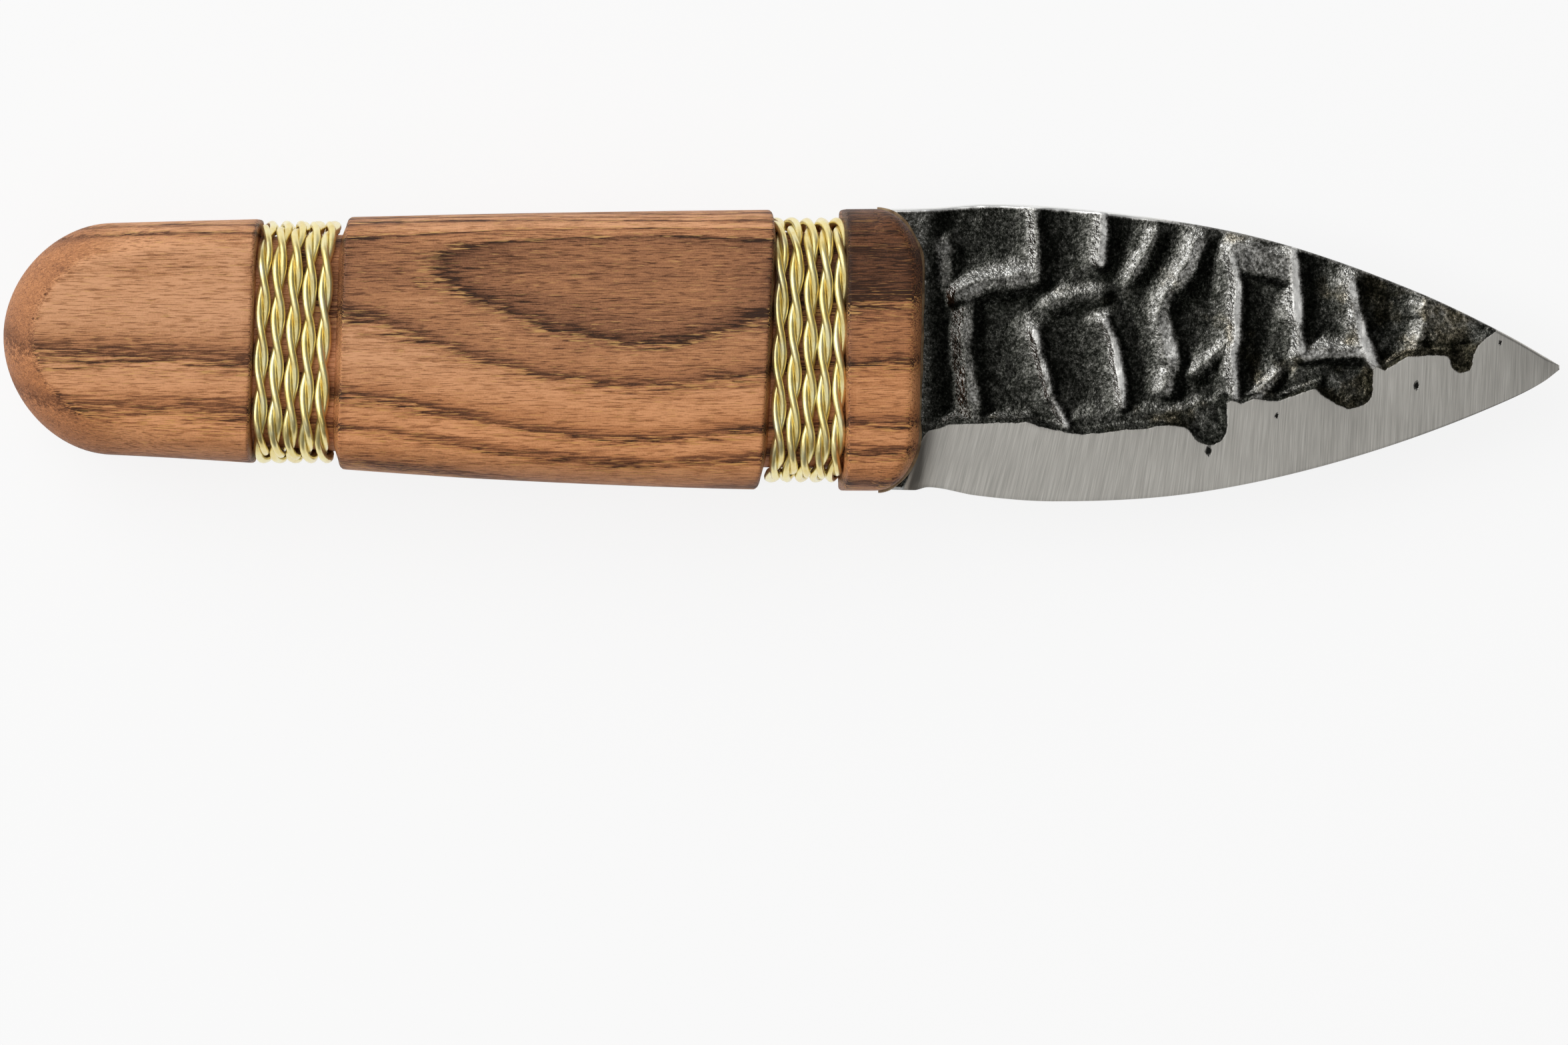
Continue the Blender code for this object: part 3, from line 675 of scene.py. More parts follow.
def forged_steel():
    finish = Finish(bpy.data.materials.new("forged_steel"))
    place = finish.place()
    x, y, z = finish.split(place)
    unground = finish.attribute("unground")
    ridge = finish.attribute("ridge")
    facing = finish.attribute("facing")
    lift = finish.attribute("lift")

    ragged = finish.noise(place, (1.4, 1.4, 1.4), 5.0, 0.65) - 0.5
    grit = finish.noise(place, (3.2, 3.2, 3.2), 2.0, 0.6, (5.0, 9.0, 2.0)) - 0.5
    fine = finish.noise(place, (6.5, 6.5, 6.5), 1.0, 0.5, (15.0, 3.0, 8.0)) - 0.5
    pebbles = finish.node("ShaderNodeTexVoronoi", {"feature": "SMOOTH_F1"},
                          {"Vector": place, "Scale": 2.8, "Smoothness": 0.35, "Detail": 1.0,
                           "Roughness": 0.6})
    scale = (unground + ragged * 0.30 + grit * 0.15).rise(-0.05, 0.07)

    # Bare steel of the bevel, brushed almost square to the edge
    lean_back = 0.26 - x.rise(15.0, 60.0) * 0.22
    slope = x - y * lean_back
    brushing = finish.node("ShaderNodeCombineXYZ", sockets={0: slope * 7.0, 1: y * 0.18, 2: z * 0.2})
    strokes = finish.cloudy(brushing, 1.0, 3.0, 0.65) - 0.5
    broad = finish.cloudy(brushing, 0.25, 2.0, 0.6) - 0.5
    cloud = finish.noise(place, (0.10, 0.10, 0.10), 3.0, 0.6) - 0.5
    pit = 0.0
    for pit_x, pit_y, size in PITS:
        off_x = x - pit_x + ragged * 0.5
        off_y = (y - pit_y + fine * 0.5) * 0.6
        pit = 1 - ((off_x * off_x + off_y * off_y) ** 0.5).rise(size * 0.5, size) + pit
    bare = finish.ramp(0.5 + strokes * 0.85 + broad * 0.2 + cloud * 0.3, [
        (0.2, srgb(158, 155, 149)), (0.5, srgb(192, 189, 182)), (0.8, srgb(222, 219, 212))])

    # Forge scale: black in the dents, greyer on high ground, with a speckled painted highlight on slopes
    # that face the softbox, painted shade on slopes that face away, and worn to bare metal along the ridges
    painted_lit_slope = facing.rise(0.06, 0.40)
    painted_shaded_slope = (0.0 - facing).rise(0.02, 0.28)
    specks = grit * 1.1 + fine * 0.5 + ragged * 0.9
    by_the_line = 1 - unground.rise(0.4, 1.9)
    level = 0.31 + lift * 0.20 + painted_lit_slope * 0.24 - painted_shaded_slope * 0.21 - by_the_line * 0.14
    crust = finish.ramp(level + specks * 0.72, [
        (0.0, srgb(8, 9, 6)), (0.25, srgb(36, 37, 33)), (0.45, srgb(80, 80, 75)),
        (0.65, srgb(140, 139, 134)), (0.85, srgb(222, 222, 218))])
    rust = finish.noise(place, (0.22, 0.22, 0.22), 3.0, 0.6, (2.0, 61.0, 4.0))
    brown = (rust + (x - 58.0) * 0.005 - unground.rise(0.4, 2.0) * 0.08).rise(0.40, 0.58)
    crust = finish.mix(brown * 0.8, crust, (1.0, 0.86, 0.62), "MULTIPLY")
    worn = (ridge + grit * 0.9 + ragged * 0.6).rise(0.10, 0.85)
    polish = (ridge + grit * 0.8 + fine * 0.6).rise(0.25, 1.05)
    metal = finish.mix(polish, srgb(122, 120, 115), srgb(232, 231, 227))
    # Near-white metal where the wear value runs highest, mostly along the spine: a painted highlight line
    metal = finish.mix(ridge.rise(1.05, 1.35), metal, srgb(246, 246, 244))
    flat = finish.mix(worn, crust, metal)

    pitted = pit.less_of(1.0) * (1 - scale)
    bare = finish.mix((1 - x.rise(12.6, 16.5)) * 0.7, bare, srgb(112, 100, 86))
    colour = finish.mix(scale, bare, flat)
    colour = finish.mix(pitted, colour, srgb(30, 30, 28))
    gloss = 0.42 + strokes * 0.14 + scale * (worn * 0.11 - 0.17 + grit * 0.15)
    grains = (grit * 0.8 + fine * 0.3 - pebbles * 0.7) * (0.30 + painted_lit_slope * 0.60) * (1 - worn * 0.75)
    relief = grains * scale + (strokes * 0.02 - pitted * 0.4) * (1 - scale)
    return finish.set(base_color=colour, metallic=1.0, roughness=gloss, normal=finish.bump(relief, 0.12))


def brass():
    finish = Finish(bpy.data.materials.new("drawn_brass"))
    place = finish.place()
    tarnish = finish.noise(place, (0.5, 0.5, 0.5), 3.0, 0.6)
    drawn = finish.noise(place, (6.0, 6.0, 6.0), 2.0, 0.6, (7.0, 1.0, 5.0)) - 0.5
    colour = finish.ramp(tarnish + drawn * 0.25, [
        (0.3, srgb(236, 212, 130)), (0.5, srgb(250, 233, 162)), (0.7, srgb(254, 246, 194))])
    return finish.set(base_color=colour, metallic=0.85, roughness=0.25 + tarnish * 0.12 + drawn * 0.08,
                      coat_weight=0.5, coat_roughness=0.10, normal=finish.bump(drawn, 0.02, 0.5))


def epoxy():
    finish = Finish(bpy.data.materials.new("cured_glue"))
    place = finish.place()
    cloud = finish.noise(place, (0.9, 0.9, 0.9), 3.0, 0.6)
    colour = finish.ramp(cloud, [
        (0.3, srgb(112, 84, 58)), (0.5, srgb(158, 128, 92)), (0.7, srgb(184, 158, 122))])
    return finish.set(base_color=colour, roughness=0.32 + cloud * 0.2, normal=finish.bump(cloud, 0.08, 0.6))


# Blade

def half_thickness(x, y):
    # Forged flat less the dents, cut back by the ground bevel, and what each point is made of
    wander_x = x + LINE_WANDER * lumps(x, y, size=WANDER_SIZE, seed=11)
    wander_y = y + LINE_WANDER * lumps(x, y, size=WANDER_SIZE, seed=12)
    above = [(GRIND_LINE[-1][0], ABOVE_SPINE), (UNDER_WOOD_X, ABOVE_SPINE)]
    unground = depth_inside(GRIND_LINE + above + [(UNDER_WOOD_X, GRIND_LINE[0][1])], wander_x, wander_y)
    for radius, points in SCALE_LOBES:
        lobe = radius - from_line(points, wander_x, wander_y)
        unground = LOBE_FILLET * np.logaddexp(unground / LOBE_FILLET, lobe / LOBE_FILLET)
    lift, worn = ridges_at(wander_x, wander_y)
    lift = np.maximum(lift, HEEL_LIFT * ease(*DENTS_START, wander_x))
    spine = smooth_line(SPINE, x)
    edge = smooth_line(EDGE, x)
    slope = (smooth_line(EDGE, x + SLOPE_STEP) - smooth_line(EDGE, x - SLOPE_STEP)) / (2 * SLOPE_STEP)
    from_edge = np.maximum((y - edge) / np.hypot(1.0, slope), 0.0)
    width = smooth_line(GRIND_WIDTH, x)
    up = np.clip((y - edge - width) / np.maximum(spine - edge - width, 1.0), 0, 1)
    forged = GRIND_LINE_HALF + (BLADE_HALF - GRIND_LINE_HALF) * up
    ground = EDGE_HALF + GRIND_LINE_HALF * from_edge / np.maximum(width, LEAST_WIDTH)
    ground = np.where(x < BEVEL_FROM_X, BLADE_HALF, ground)
    bevel = np.minimum(forged, ground)
    hammered = np.minimum(forged - DENT_DEPTH * (1 - lift), ground)
    meeting = ease(0.0, MEETING_WIDTH, unground)
    height = bevel + (hammered - bevel) * meeting
    rough = COARSE_GRAIN * lumps(x, y, size=1.1, seed=13) + FINE_GRAIN * lumps(x, y, size=0.5, seed=14)
    return height, np.minimum(rough * meeting, ground - height), unground, lift, worn * (unground > 0)


def blade():
    # One face as a grid whose rim lies on the middle plane, with its mirror below
    steel = np.concatenate([np.linspace(SHOULDER_X, BODY_END_X, BLADE_STATIONS), TIP_STATIONS])
    spine = smooth_line(SPINE, steel)[:, None]
    edge = smooth_line(EDGE, steel)[:, None]
    eased = np.minimum(SPINE_EASE, SPINE_EASE_SHARE * (spine - edge))
    share = np.linspace(0.0, 1.0, BLADE_ROWS)[None, :]
    first = FIRST_ROW_SHARE * (spine - edge)
    face_y = edge + first + (spine - edge - first - eased) * share
    round_y = spine - eased + eased * SPINE_ROUNDING
    y = np.hstack([edge, face_y, round_y, spine])
    x = np.repeat(steel[:, None], y.shape[1], axis=1)
    height, rough, unground, lift, worn = half_thickness(x, y)
    fall = np.zeros_like(y)
    fall[:, -1 - len(SPINE_ROUNDING):-1] = eased / SPINE_EASE * SPINE_FALL * rounding(SPINE_ROUNDING)
    z = height + rough - fall
    # Slope of the face towards the softbox at the upper left, kept away from the grind line; the finish
    # paints a highlight on slopes that face the light and shade on those that face away
    rise_x = np.gradient(height, axis=0) / np.gradient(x, axis=0)
    rise_y = np.gradient(height, axis=1) / np.gradient(y, axis=1)
    facing = (rise_x * FACING[0] + rise_y * FACING[1]) * ease(*FACING_FROM_LINE, unground)
    # Worn band along the spine, raised past the ridges' wear so that it shows as a painted highlight line,
    # weaker towards the tip
    kept_wear_and_highlight = 1 - SPINE_HIGHLIGHT_LOSS * ease(*SPINE_HIGHLIGHT_FADE, x)
    worn = np.maximum(worn, SPINE_WEAR_AND_HIGHLIGHT * ease(*SPINE_HIGHLIGHT_BAND, spine - y) * kept_wear_and_highlight)

    # The tang fills the same rows, plain and flat
    tang_share = (TANG_STATIONS - TANG_END_X) / (SHOULDER_X - TANG_END_X)
    tang_half = (TANG_END_HALF + (TANG_FRONT_HALF - TANG_END_HALF) * tang_share)[:, None]
    spread = np.linspace(-1.0, 1.0, y.shape[1])[None, :]
    tang_y = TANG_MIDDLE_Y + tang_half * spread
    tang_x = np.repeat(TANG_STATIONS[:, None], y.shape[1], axis=1)
    tang_z = np.full_like(tang_y, BLADE_HALF)

    x = np.vstack([tang_x, x])
    y = np.vstack([tang_y, y])
    z = np.vstack([tang_z, z])
    plain = np.zeros_like(tang_y)
    unground = np.clip(unground, -FIELD_REACH, FIELD_REACH)
    fields = {}
    for name, on_tang, values in (("unground", plain + 1.0, unground), ("ridge", plain, worn),
                                  ("facing", plain, facing), ("lift", plain, lift)):
        fields[name] = np.tile(np.vstack([on_tang, values]).reshape(-1), 2)
    columns, rows = x.shape
    rim = np.pad(np.zeros((columns - 2, rows - 2), dtype=bool), 1, constant_values=True)
    z[rim] = 0.0
    top = np.stack([x, y, MIDDLE_Z + z], axis=-1).reshape(-1, 3)
    bottom = np.stack([x, y, MIDDLE_Z - z], axis=-1).reshape(-1, 3)
    faces = grid_faces(columns, rows)
    below = np.where(rim.reshape(-1), np.arange(columns * rows), np.arange(columns * rows) + columns * rows)
    faces = np.vstack([faces, below[faces][:, ::-1]])
    mesh = mesh_from("blade_steel", np.vstack([top, bottom]), faces, fields)
    mesh.shade_smooth()
    mesh.set_sharp_from_angle(angle=math.radians(STEEL_SHARP))
    return mesh


# Handle

def handle_chain(first, last):
    # Points along the outline from one corner to a later one
    chain = []
    count = len(HANDLE_OUTLINE)
    for i in range(first, last):
        start, _, forward = HANDLE_OUTLINE[i % count]
        end, back, _ = HANDLE_OUTLINE[(i + 1) % count]
        t = np.linspace(0.0, 1.0, OUTLINE_STEPS, endpoint=False)[:, None]
        a = np.array(start)
        b = a + np.array(forward)
        d = np.array(end)
        c = d + np.array(back)
        chain.append(a * (1 - t) ** 3 + 3 * b * t * (1 - t) ** 2 + 3 * c * t * t * (1 - t) + d * t ** 3)
    chain.append(np.array([HANDLE_OUTLINE[last % count][0]]))
    return np.vstack(chain)


def from_handle_rim(x, y):
    # How far inside the handle's outline a point lies
    outline = [tuple(p) for p in handle_chain(0, len(HANDLE_OUTLINE))[:-1]]
    return np.maximum(depth_inside(outline, x, y), 0.0)


def groove_middle(groove):
    return (groove["top"] + groove["bottom"]) / 2


def from_grooves(u, butt, values, front):
    # A value that changes along the handle, given at the butt, the edges of each groove and the front
    places = [BUTT_X]
    for groove in GROOVES.values():
        places += [groove["left"], groove["right"]]
    return np.interp(u, places + [FRONT_X], [butt, *values, front])


def lean(u):
    # Slope of the cross-cuts along the handle: square at the butt, slanted at the grooves
    slants = [g[edge] for g in GROOVES.values() for edge in ("left_slant", "right_slant")]
    return from_grooves(u, 0.0, slants, FRONT_SLANT)


def lean_middle(u):
    middles = [groove_middle(g) for g in GROOVES.values() for edge in range(2)]
    return from_grooves(u, middles[0], middles, middles[-1])


def bow(u):
    bows = [BOW[side] for side in GROOVES for edge in range(2)]
    return from_grooves(u, 0.0, bows, 0.0)


def along_handle(points):
    # The cross-cut that each outline point lies on
    u = points[:, 0].copy()
    for _ in range(LEAN_ROUNDS):
        u = points[:, 0] - lean(u) * (points[:, 1] - lean_middle(u))
    return u


def handle_stations():
    # Cross-cuts, closer together at the butt, the front and the groove edges
    turn = np.linspace(0.0, math.pi / 2, BUTT_CUTS)
    butt = BUTT_FIRST_CUT + BUTT_CURVE * (1 - np.cos(turn))
    front = FRONT_CURVE_FROM + FRONT_CURVE * np.sin(turn[::2])
    kept = np.concatenate([butt, np.arange(*BODY_CUTS), front])
    edges = []
    for groove in GROOVES.values():
        for side, edge in ((-1, "left"), (1, "right")):
            at = groove[edge]
            foot = at - side * groove[edge + "_taper"]
            kept = kept[(side * (kept - at) > CLEAR_OUTSIDE) | (side * (kept - foot) < -CLEAR_INSIDE)]
            edges += list(at + side * CUTS_BY_GROOVE) + [foot, foot - side * FOOT_STEP]
    return np.sort(np.concatenate([kept, edges]))


def with_rim(field, value=None):
    # The grid with one more row all round, which copies its edge or holds a value
    padded = np.pad(field, 1, mode="edge")
    if value is not None:
        padded[[0, -1], :] = value
        padded[:, [0, -1]] = value
    return padded


def scale_half(side):
    # One scale: a rounded face over the outline, with its half of the two grooves
    top = handle_chain(0, FRONT_TOP)
    bottom = handle_chain(FRONT_BOTTOM, len(HANDLE_OUTLINE))[::-1]
    stations = handle_stations()
    high = np.interp(stations, along_handle(top), top[:, 1])
    low = np.interp(stations, along_handle(bottom), bottom[:, 1])

    # Grooves lower the wood, and their upper edges are eased
    floor = np.zeros(len(stations), dtype=bool)
    inset = np.zeros(len(stations))
    for groove in GROOVES.values():
        in_floor = ((stations > groove["left"] + groove["left_taper"] - SAME_PLACE)
                    & (stations < groove["right"] - groove["right_taper"] + SAME_PLACE))
        floor |= in_floor
        inset = np.where(in_floor, groove["depth"], inset)
        off = np.maximum(groove["left"] - stations, stations - groove["right"])
        eased = np.clip(1 - off / ARRIS, 0, 1)
        on_arris = (off > -SAME_PLACE) & (off < ARRIS)
        inset = np.where(on_arris, ARRIS * rounding(eased), inset)

    t = np.linspace(0.0, 1.0, HANDLE_ROWS)
    share = t - ROW_CROWDING * np.sin(2 * math.pi * t) / (2 * math.pi)
    full_y = low[:, None] + (high - low)[:, None] * share[None, :]
    u = np.repeat(stations[:, None], HANDLE_ROWS, axis=1)
    x = u + lean(u) * (full_y - lean_middle(u))
    from_rim = from_handle_rim(x, full_y)
    front = ease(*FRONT_ROUND_FADE, x)
    butt = ease(*BUTT_ROUND_FADE, x)
    width = ROUND_OVER_WIDTH + (FRONT_ROUND_WIDTH - ROUND_OVER_WIDTH) * front
    width = width + (BUTT_ROUND_WIDTH - ROUND_OVER_WIDTH) * butt
    depth = ROUND_OVER_DEPTH + (FRONT_ROUND_DEPTH - ROUND_OVER_DEPTH) * front
    out = np.clip(1 - from_rim / width, 0, 1)
    crease = BUTT_CREASE * (CREASE_ELSEWHERE + (1 - CREASE_ELSEWHERE) * butt)
    drop = depth * (crease * out + (1 - crease) * rounding(out))
    z = HALF_THICKNESS - inset[:, None] - drop
    y = (low + inset)[:, None] + (high - low - 2 * inset)[:, None] * share[None, :]
    floor_out = np.clip(1 - np.minimum(y - y[:, :1], y[:, -1:] - y) / FLOOR_CORNER_Y, 0, 1)
    floor_z = HALF_THICKNESS - inset[:, None] - FLOOR_CORNER_Z * rounding(floor_out)
    z = np.where(floor[:, None], floor_z, z)

    # Walls run straight down to the seam
    y = with_rim(y)
    u = with_rim(u)
    z = with_rim(z, SEAM_HALF_GAP)
    x = u + lean(u) * (y - lean_middle(u)) + bow(u) * (z - HALF_THICKNESS)
    points = np.stack([x, y, MIDDLE_Z + side * z], axis=-1).reshape(-1, 3)
    faces = grid_faces(*x.shape)
    if side < 0:
        faces = faces[:, ::-1]
    return mend(mesh_from("scale_wood", points, faces), SCALE_JOIN, close=True)


def block(name, back, front, middle, half):
    # A block about the middle plane, used to cut: place and half height of each end, then its middle
    low = [(back[0], middle - back[1]), (front[0], middle - front[1])]
    high = [(front[0], middle + front[1]), (back[0], middle + back[1])]
    points = np.array([(x, y, MIDDLE_Z + level) for level in (-half, half) for x, y in low + high])
    faces = [(3, 2, 1, 0), (4, 5, 6, 7), (0, 1, 5, 4), (1, 2, 6, 5), (2, 3, 7, 6), (3, 0, 4, 7)]
    return mesh_from(name, points, np.array(faces))


def cut_away(mesh, tools):
    # The mesh with each tool's shape cut out of it
    obj = placed("being_cut", mesh)
    helpers = [placed("cutting_tool", tool) for tool in tools]
    for helper in helpers:
        modifier = obj.modifiers.new("cut", "BOOLEAN")
        modifier.operation = "DIFFERENCE"
        modifier.solver = "EXACT"
        modifier.object = helper
    result = worked_out(obj)
    for helper in helpers:
        bpy.data.objects.remove(helper, do_unlink=True)
    return result


def burnt_edge(points):
    # 1 at the edges of the grooves, fading over the next millimetre or so of wood
    z = np.abs(points[:, 2] - MIDDLE_Z)
    flat = points[:, 0] - bow(points[:, 0]) * (z - HALF_THICKNESS)
    u = along_handle(np.stack([flat, points[:, 1]], axis=1))
    burn = np.zeros(len(points))
    for groove in GROOVES.values():
        for side, edge in ((-1, "left"), (1, "right")):
            off = side * (u - groove[edge])
            reach = BURN_REACH + BURN_UNEVEN * lumps(points[:, 1], points[:, 2], size=2.2, seed=31 + side)
            burn = np.maximum(burn, np.where(off > BURN_FROM, ease(1.0, 0.0, off / reach), 0.0))
    return burn


def end_grain(points):
    # 1 on the rounded butt, where the fibres are cut across, and 1 along the crease where that starts
    from_rim = from_handle_rim(points[:, 0], points[:, 1])
    edge = BUTT_ROUND_WIDTH + END_GRAIN_UNEVEN * lumps(points[:, 0], points[:, 1], size=1.5, seed=35)
    at_butt = ease(*END_GRAIN_FADE, points[:, 0])
    crease = ease(CREASE_WIDTH, 0.0, np.abs(from_rim - edge))
    return ease(*END_GRAIN_EDGE, from_rim / edge) * at_butt, crease * at_butt


def scale(side):
    pocket = block("pocket", (TANG_END_X - TANG_CLEARANCE, TANG_END_HALF + TANG_CLEARANCE),
                   (POCKET_FRONT_X, TANG_FRONT_HALF + TANG_CLEARANCE), TANG_MIDDLE_Y,
                   BLADE_HALF + TANG_CLEARANCE)
    slot = block("slot", (SLOT_BACK_X, SLOT_REACH), (SLOT_REACH, SLOT_REACH), 0.0,
                 BLADE_HALF + SLOT_CLEARANCE)
    mesh = cut_away(scale_half(side), [pocket, slot])
    points = mesh_points(mesh)
    store(mesh, "burnt_edge", burnt_edge(points))
    cut_across, crease = end_grain(points)
    store(mesh, "end_grain", cut_across)
    store(mesh, "butt_crease", crease)
    mesh.shade_smooth()
    mesh.set_sharp_from_angle(angle=math.radians(WOOD_SHARP))
    return mesh


# Bindings

def lap_of(groove):
    # One closed lap of the wire's middle line round the groove, as (y, z) and outward directions
    half_y = (groove["top"] - groove["bottom"]) / 2 - groove["depth"] + WIRE_TO_FLOOR
    half_z = HALF_THICKNESS - groove["depth"] + WIRE_TO_FLOOR
    corner_y = FLOOR_CORNER_Y + WIRE_TO_FLOOR
    corner_z = FLOOR_CORNER_Z + WIRE_TO_FLOOR
    lap = []
    for quarter, (sign_y, sign_z) in enumerate(((1, 1), (-1, 1), (-1, -1), (1, -1))):
        for step in range(CORNER_STEPS + 1):
            turn = math.pi / 2 * (quarter + step / CORNER_STEPS)
            lap.append((sign_y * (half_y - corner_y) + corner_y * math.cos(turn),
                        sign_z * (half_z - corner_z) + corner_z * math.sin(turn)))
    lap = np.array(lap)[::-1]
    closed = np.vstack([lap, lap[:1]])
    run = np.concatenate([[0.0], np.cumsum(np.hypot(*np.diff(closed, axis=0).T))])
    fine = np.linspace(0.0, run[-1], LAP_STEPS + 1)[:-1]
    ring = np.stack([np.interp(fine, run, closed[:, k]) for k in (0, 1)], axis=1)
    start = int(np.argmin(np.hypot(ring[:, 0], ring[:, 1] + half_z)))
    return np.roll(ring, -start, axis=0), run[-1]


def twist_along(at, around, crossings):
    # Angle of the pair along its length, so that the strands cross where they do on the shown side
    places = []
    angles = []
    for turn, crossing in enumerate(crossings):
        middle = (turn + 0.5) * around
        whole = round((middle + crossing) / HALF_TWIST)
        for side in (-1, 1):
            places.append(middle + side * SHOWN_REACH)
            angles.append(math.pi * (whole + (side * SHOWN_REACH - crossing) / HALF_TWIST))
    first = angles[0] - math.pi * places[0] / HALF_TWIST
    last = angles[-1] + math.pi * (TURNS * around - places[-1]) / HALF_TWIST
    return np.interp(at, [0.0, *places, TURNS * around], [first, *angles, last])


def wire_path(name, side):
    # Middle line of the twisted pair as a mesh of edges that carries outward directions and twist
    groove = GROOVES[side]
    binding = BINDINGS[side]
    ring, around = lap_of(groove)
    first = ANCHOR_Y + ANCHOR_BEND
    last = TURNS * around - ANCHOR_Y - ANCHOR_BEND
    count = int((last - first) / HALF_TWIST * POINTS_PER_HALF_TWIST)
    at = np.linspace(first, last, count)
    spot = (at / around * len(ring)) % len(ring)
    low = np.floor(spot).astype(int)
    part = (spot - low)[:, None]
    centre = ring[low % len(ring)] * (1 - part) + ring[(low + 1) % len(ring)] * part
    ahead = ring[(low + LAP_LOOK) % len(ring)]
    behind = ring[(low - LAP_LOOK) % len(ring)]
    out = np.stack([behind[:, 1] - ahead[:, 1], ahead[:, 0] - behind[:, 0]], axis=1)
    out /= np.linalg.norm(out, axis=1)[:, None]
    laps = at / around
    jog = JOG_HALF_LENGTH / around
    lap = np.round(laps) - 1 + ease(-jog, jog, laps - np.round(laps))
    across = (lap - (TURNS - 1) / 2) * binding["spacing"]
    across = across + TURN_WANDER * lumps(at, lap * 9.0, size=7.0, seed=41)
    twist = twist_along(at, around, binding["crossings"])

    # Each end turns down into the wood and runs straight
    head = centre[0] + ANCHOR_TURN[::-1]
    tail = centre[-1] + ANCHOR_TURN * (-1, 1)
    ends = len(ANCHOR_TURN)
    line = np.vstack([head, centre, tail])
    across = np.pad(across, ends, mode="edge")
    out = np.pad(out, ((ends, ends), (0, 0)), mode="edge")

    falls = np.abs(line[:, 1]) - HALF_THICKNESS + groove["depth"]
    x = binding["x"] + across + binding["slant"] * line[:, 0] + BOW[side] * falls
    points = np.stack([x, groove_middle(groove) + line[:, 0], MIDDLE_Z + line[:, 1]], axis=1)
    mesh = line_mesh(name, points)
    store(mesh, "twist", np.pad(twist, ends, mode="edge"))
    store(mesh, "outward", np.column_stack([np.zeros(len(out)), out]))
    return mesh


def strand_tree(material):
    # Geometry nodes: one strand of a twisted pair, swept along the pair's middle line
    tree = bpy.data.node_groups.new("twisted_strand", "GeometryNodeTree")
    sockets = {}
    for name, kind in (("Path", "NodeSocketGeometry"), ("Strand Radius", "NodeSocketFloat"),
                       ("Twist Radius", "NodeSocketFloat"), ("Phase", "NodeSocketFloat"),
                       ("Sides", "NodeSocketInt")):
        sockets[name] = tree.interface.new_socket(name, in_out="INPUT", socket_type=kind).identifier
    tree.interface.new_socket("Strand", in_out="OUTPUT", socket_type="NodeSocketGeometry")

    nodes = Nodes(tree)
    given = {name: nodes.node("NodeGroupInput", out=name) for name in sockets}

    def add(kind, feeds, settings=None):
        return nodes.node("GeometryNode" + kind, settings, feeds)

    outward = add("InputNamedAttribute", {"Name": "outward"}, {"data_type": "FLOAT_VECTOR"})
    angle = given["Phase"] - add("InputNamedAttribute", {"Name": "twist"}, {"data_type": "FLOAT"})
    up = nodes.scaled(outward, angle.math("COSINE", angle))
    across = nodes.node("ShaderNodeCombineXYZ", None, {"X": angle.math("SINE", angle)})
    offset = nodes.scaled(nodes.vector("ADD", up, across), given["Twist Radius"])
    moved = add("SetPosition", {"Geometry": given["Path"], "Offset": offset})
    curve = add("MeshToCurve", {"Mesh": moved})
    section = add("CurvePrimitiveCircle", {"Resolution": given["Sides"], "Radius": given["Strand Radius"]},
                  {"mode": "RADIUS"})
    sweep = add("CurveToMesh", {"Curve": curve, "Profile Curve": section, "Fill Caps": True})
    smooth = add("SetShadeSmooth", {"Geometry": sweep})
    whole = add("RealizeInstances", {"Geometry": smooth})
    painted = add("SetMaterial", {"Geometry": whole, "Material": material})
    nodes.node("NodeGroupOutput", None, {0: painted})
    return tree, sockets


def strand(name, path, tree, sockets, phase, radius, twist_radius):
    obj = placed(name + "_path", path)
    modifier = obj.modifiers.new("strand", "NODES")
    modifier.node_group = tree
    modifier[sockets["Strand Radius"]] = radius * MM
    modifier[sockets["Twist Radius"]] = twist_radius * MM
    modifier[sockets["Phase"]] = phase
    modifier[sockets["Sides"]] = STRAND_SIDES
    return mend(worked_out(obj), STRAND_JOIN)


def glue_bead(name, side, tree, sockets):
    # A bead along the front of the wood, on one face of the blade
    line = handle_chain(FRONT_TOP - 1, FRONT_BOTTOM + 1)
    run = np.gradient(line, axis=0)
    out = np.stack([-run[:, 1], run[:, 0]], axis=1) / np.linalg.norm(run, axis=1)[:, None]
    push = BEAD_PUSH + BEAD_UNEVEN * lumps(line[:, 0], line[:, 1], size=1.7, seed=51 + side)
    level = np.full(len(line), MIDDLE_Z + side * BLADE_HALF)
    path = line_mesh(name, np.column_stack([line + out * push[:, None], level]))
    return strand(name, path, tree, sockets, 0.0, BEAD_RADIUS, 0.0)


# Stage

# The camera's scale and aim; the range it sees and the floor's sizes are in metres
PIXELS_PER_MM = 14.575
FRAME_WIDTH_PIXELS = 2352
CAMERA_DISTANCE = 2200.0
CAMERA_AIM = (0.206, -17.48)
SENSOR_WIDTH = 36.0
SEEN_FROM = 0.1
SEEN_TO = 20.0
FLOOR_HALF_SIZE = 1.5
FLOOR_DROP = 0.0002
FLOOR_WHITE = 0.85

# A light tent, bright towards the upper left and dark towards the lower right,
# with a softbox at the upper left and a weak fill from below; metres and watts
TENT_DARK = 0.10
TENT_BRIGHT = 0.85
TENT_BRIGHT_SIDE = (-0.86, 0.5, 0.0)
SOFTBOX = {"direction": (-0.72, 0.42, 0.95), "distance": 1.1, "size": 1.2, "watts": 7.3}
LOW_FILL = {"direction": (0.05, -0.40, 0.92), "distance": 1.3, "size": 0.6, "watts": 1.0}


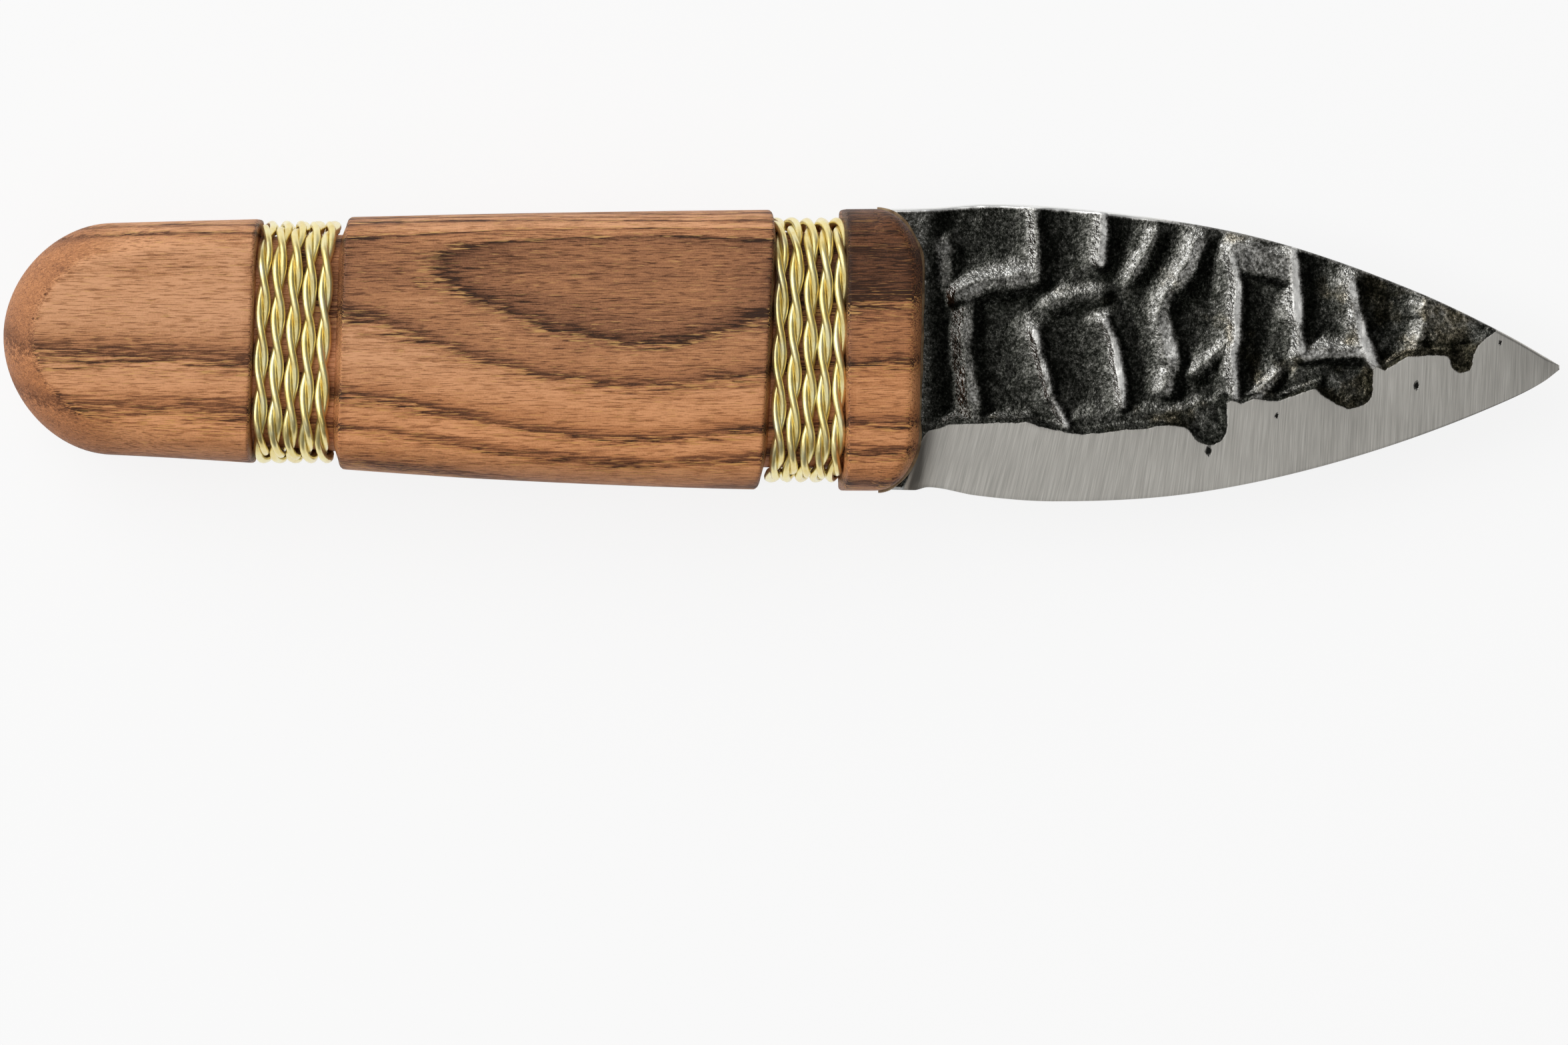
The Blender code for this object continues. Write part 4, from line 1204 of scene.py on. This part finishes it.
def camera():
    data = bpy.data.cameras.new("square_on")
    data.sensor_width = SENSOR_WIDTH
    data.lens = SENSOR_WIDTH * CAMERA_DISTANCE / (FRAME_WIDTH_PIXELS / PIXELS_PER_MM)
    data.clip_start = SEEN_FROM
    data.clip_end = SEEN_TO
    obj = placed("square_on", data)
    obj.location = Vector((*CAMERA_AIM, MIDDLE_Z + CAMERA_DISTANCE)) * MM
    bpy.context.scene.camera = obj


def lamp(name, direction, distance, size, watts):
    data = bpy.data.lights.new(name, "AREA")
    data.shape = "SQUARE"
    data.size = size
    data.energy = watts
    obj = placed(name, data)
    way = Vector(direction).normalized()
    obj.location = way * distance
    obj.rotation_mode = "QUATERNION"
    obj.rotation_quaternion = way.to_track_quat("Z", "Y")


def floor():
    finish = Finish(bpy.data.materials.new("pale_floor"))
    finish.set(base_color=(0.92, 0.92, 0.92), roughness=0.8)
    rays = finish.node("ShaderNodeLightPath").socket.node
    seen = Tone(finish, rays.outputs["Is Camera Ray"])
    for name in ("Is Glossy Ray", "Is Transmission Ray"):
        seen = seen.more_of(Tone(finish, rays.outputs[name]))
    white = finish.node("ShaderNodeEmission", {}, {"Color": (1.0, 1.0, 1.0), "Strength": 1.0})
    surface = Tone(finish, finish.shader.outputs[0])
    both = finish.node("ShaderNodeMixShader", {}, {0: seen * FLOOR_WHITE, 1: surface, 2: white})
    finish.feed(finish.tree.nodes["Material Output"].inputs["Surface"], both)

    mesh = bpy.data.meshes.new("pale_floor")
    bm = bmesh.new()
    bmesh.ops.create_grid(bm, x_segments=1, y_segments=1, size=FLOOR_HALF_SIZE)
    bm.to_mesh(mesh)
    bm.free()
    mesh.materials.append(finish.owner)
    obj = placed("pale_floor", mesh)
    obj.location = (0.0, 0.0, -FLOOR_DROP)


def light():
    tent = Finish(bpy.data.worlds.new("light_tent"))
    bpy.context.scene.world = tent.owner
    way = tent.node("ShaderNodeTexCoord", out="Generated")
    seen = tent.node("ShaderNodeLightPath", out="Is Camera Ray")
    towards = tent.vector("DOT_PRODUCT", way, TENT_BRIGHT_SIDE, "Value")
    level = TENT_DARK + (0.5 + towards * 0.5) ** 2.0 * (TENT_BRIGHT - TENT_DARK)
    tent.set(color=tent.mix(seen, tent.mix(level, (0.0, 0.0, 0.0), (1.0, 1.0, 1.0)), (1.0, 1.0, 1.0)))
    lamp("softbox", **SOFTBOX)
    lamp("low_fill", **LOW_FILL)


def main():
    steel = forged_steel()
    wood = walnut()
    wire = brass()
    glue = epoxy()

    show("blade_steel", blade(), steel, "blade")
    show("right_scale_wood", scale(1), wood, "right_scale")
    show("left_scale_wood", scale(-1), wood, "left_scale")
    tree, sockets = strand_tree(wire)
    for side in BINDINGS:
        for letter, half_turn in (("a", 0.0), ("b", math.pi)):
            name = side + "_binding_" + letter
            path = wire_path(name, side)
            mesh = strand(name, path, tree, sockets, half_turn, STRAND_RADIUS, TWIST_RADIUS)
            show(name, mesh, wire, side + "_wire_strand_" + letter)
    for name, side in (("right_glue_bead", 1), ("left_glue_bead", -1)):
        show(name, glue_bead(name, side, tree, sockets), glue, None)
    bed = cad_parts["tang_epoxy"]
    bed.data.materials.clear()
    bed.data.materials.append(glue)

    floor()
    light()
    camera()
    bpy.context.scene.view_settings.view_transform = "Standard"


main()
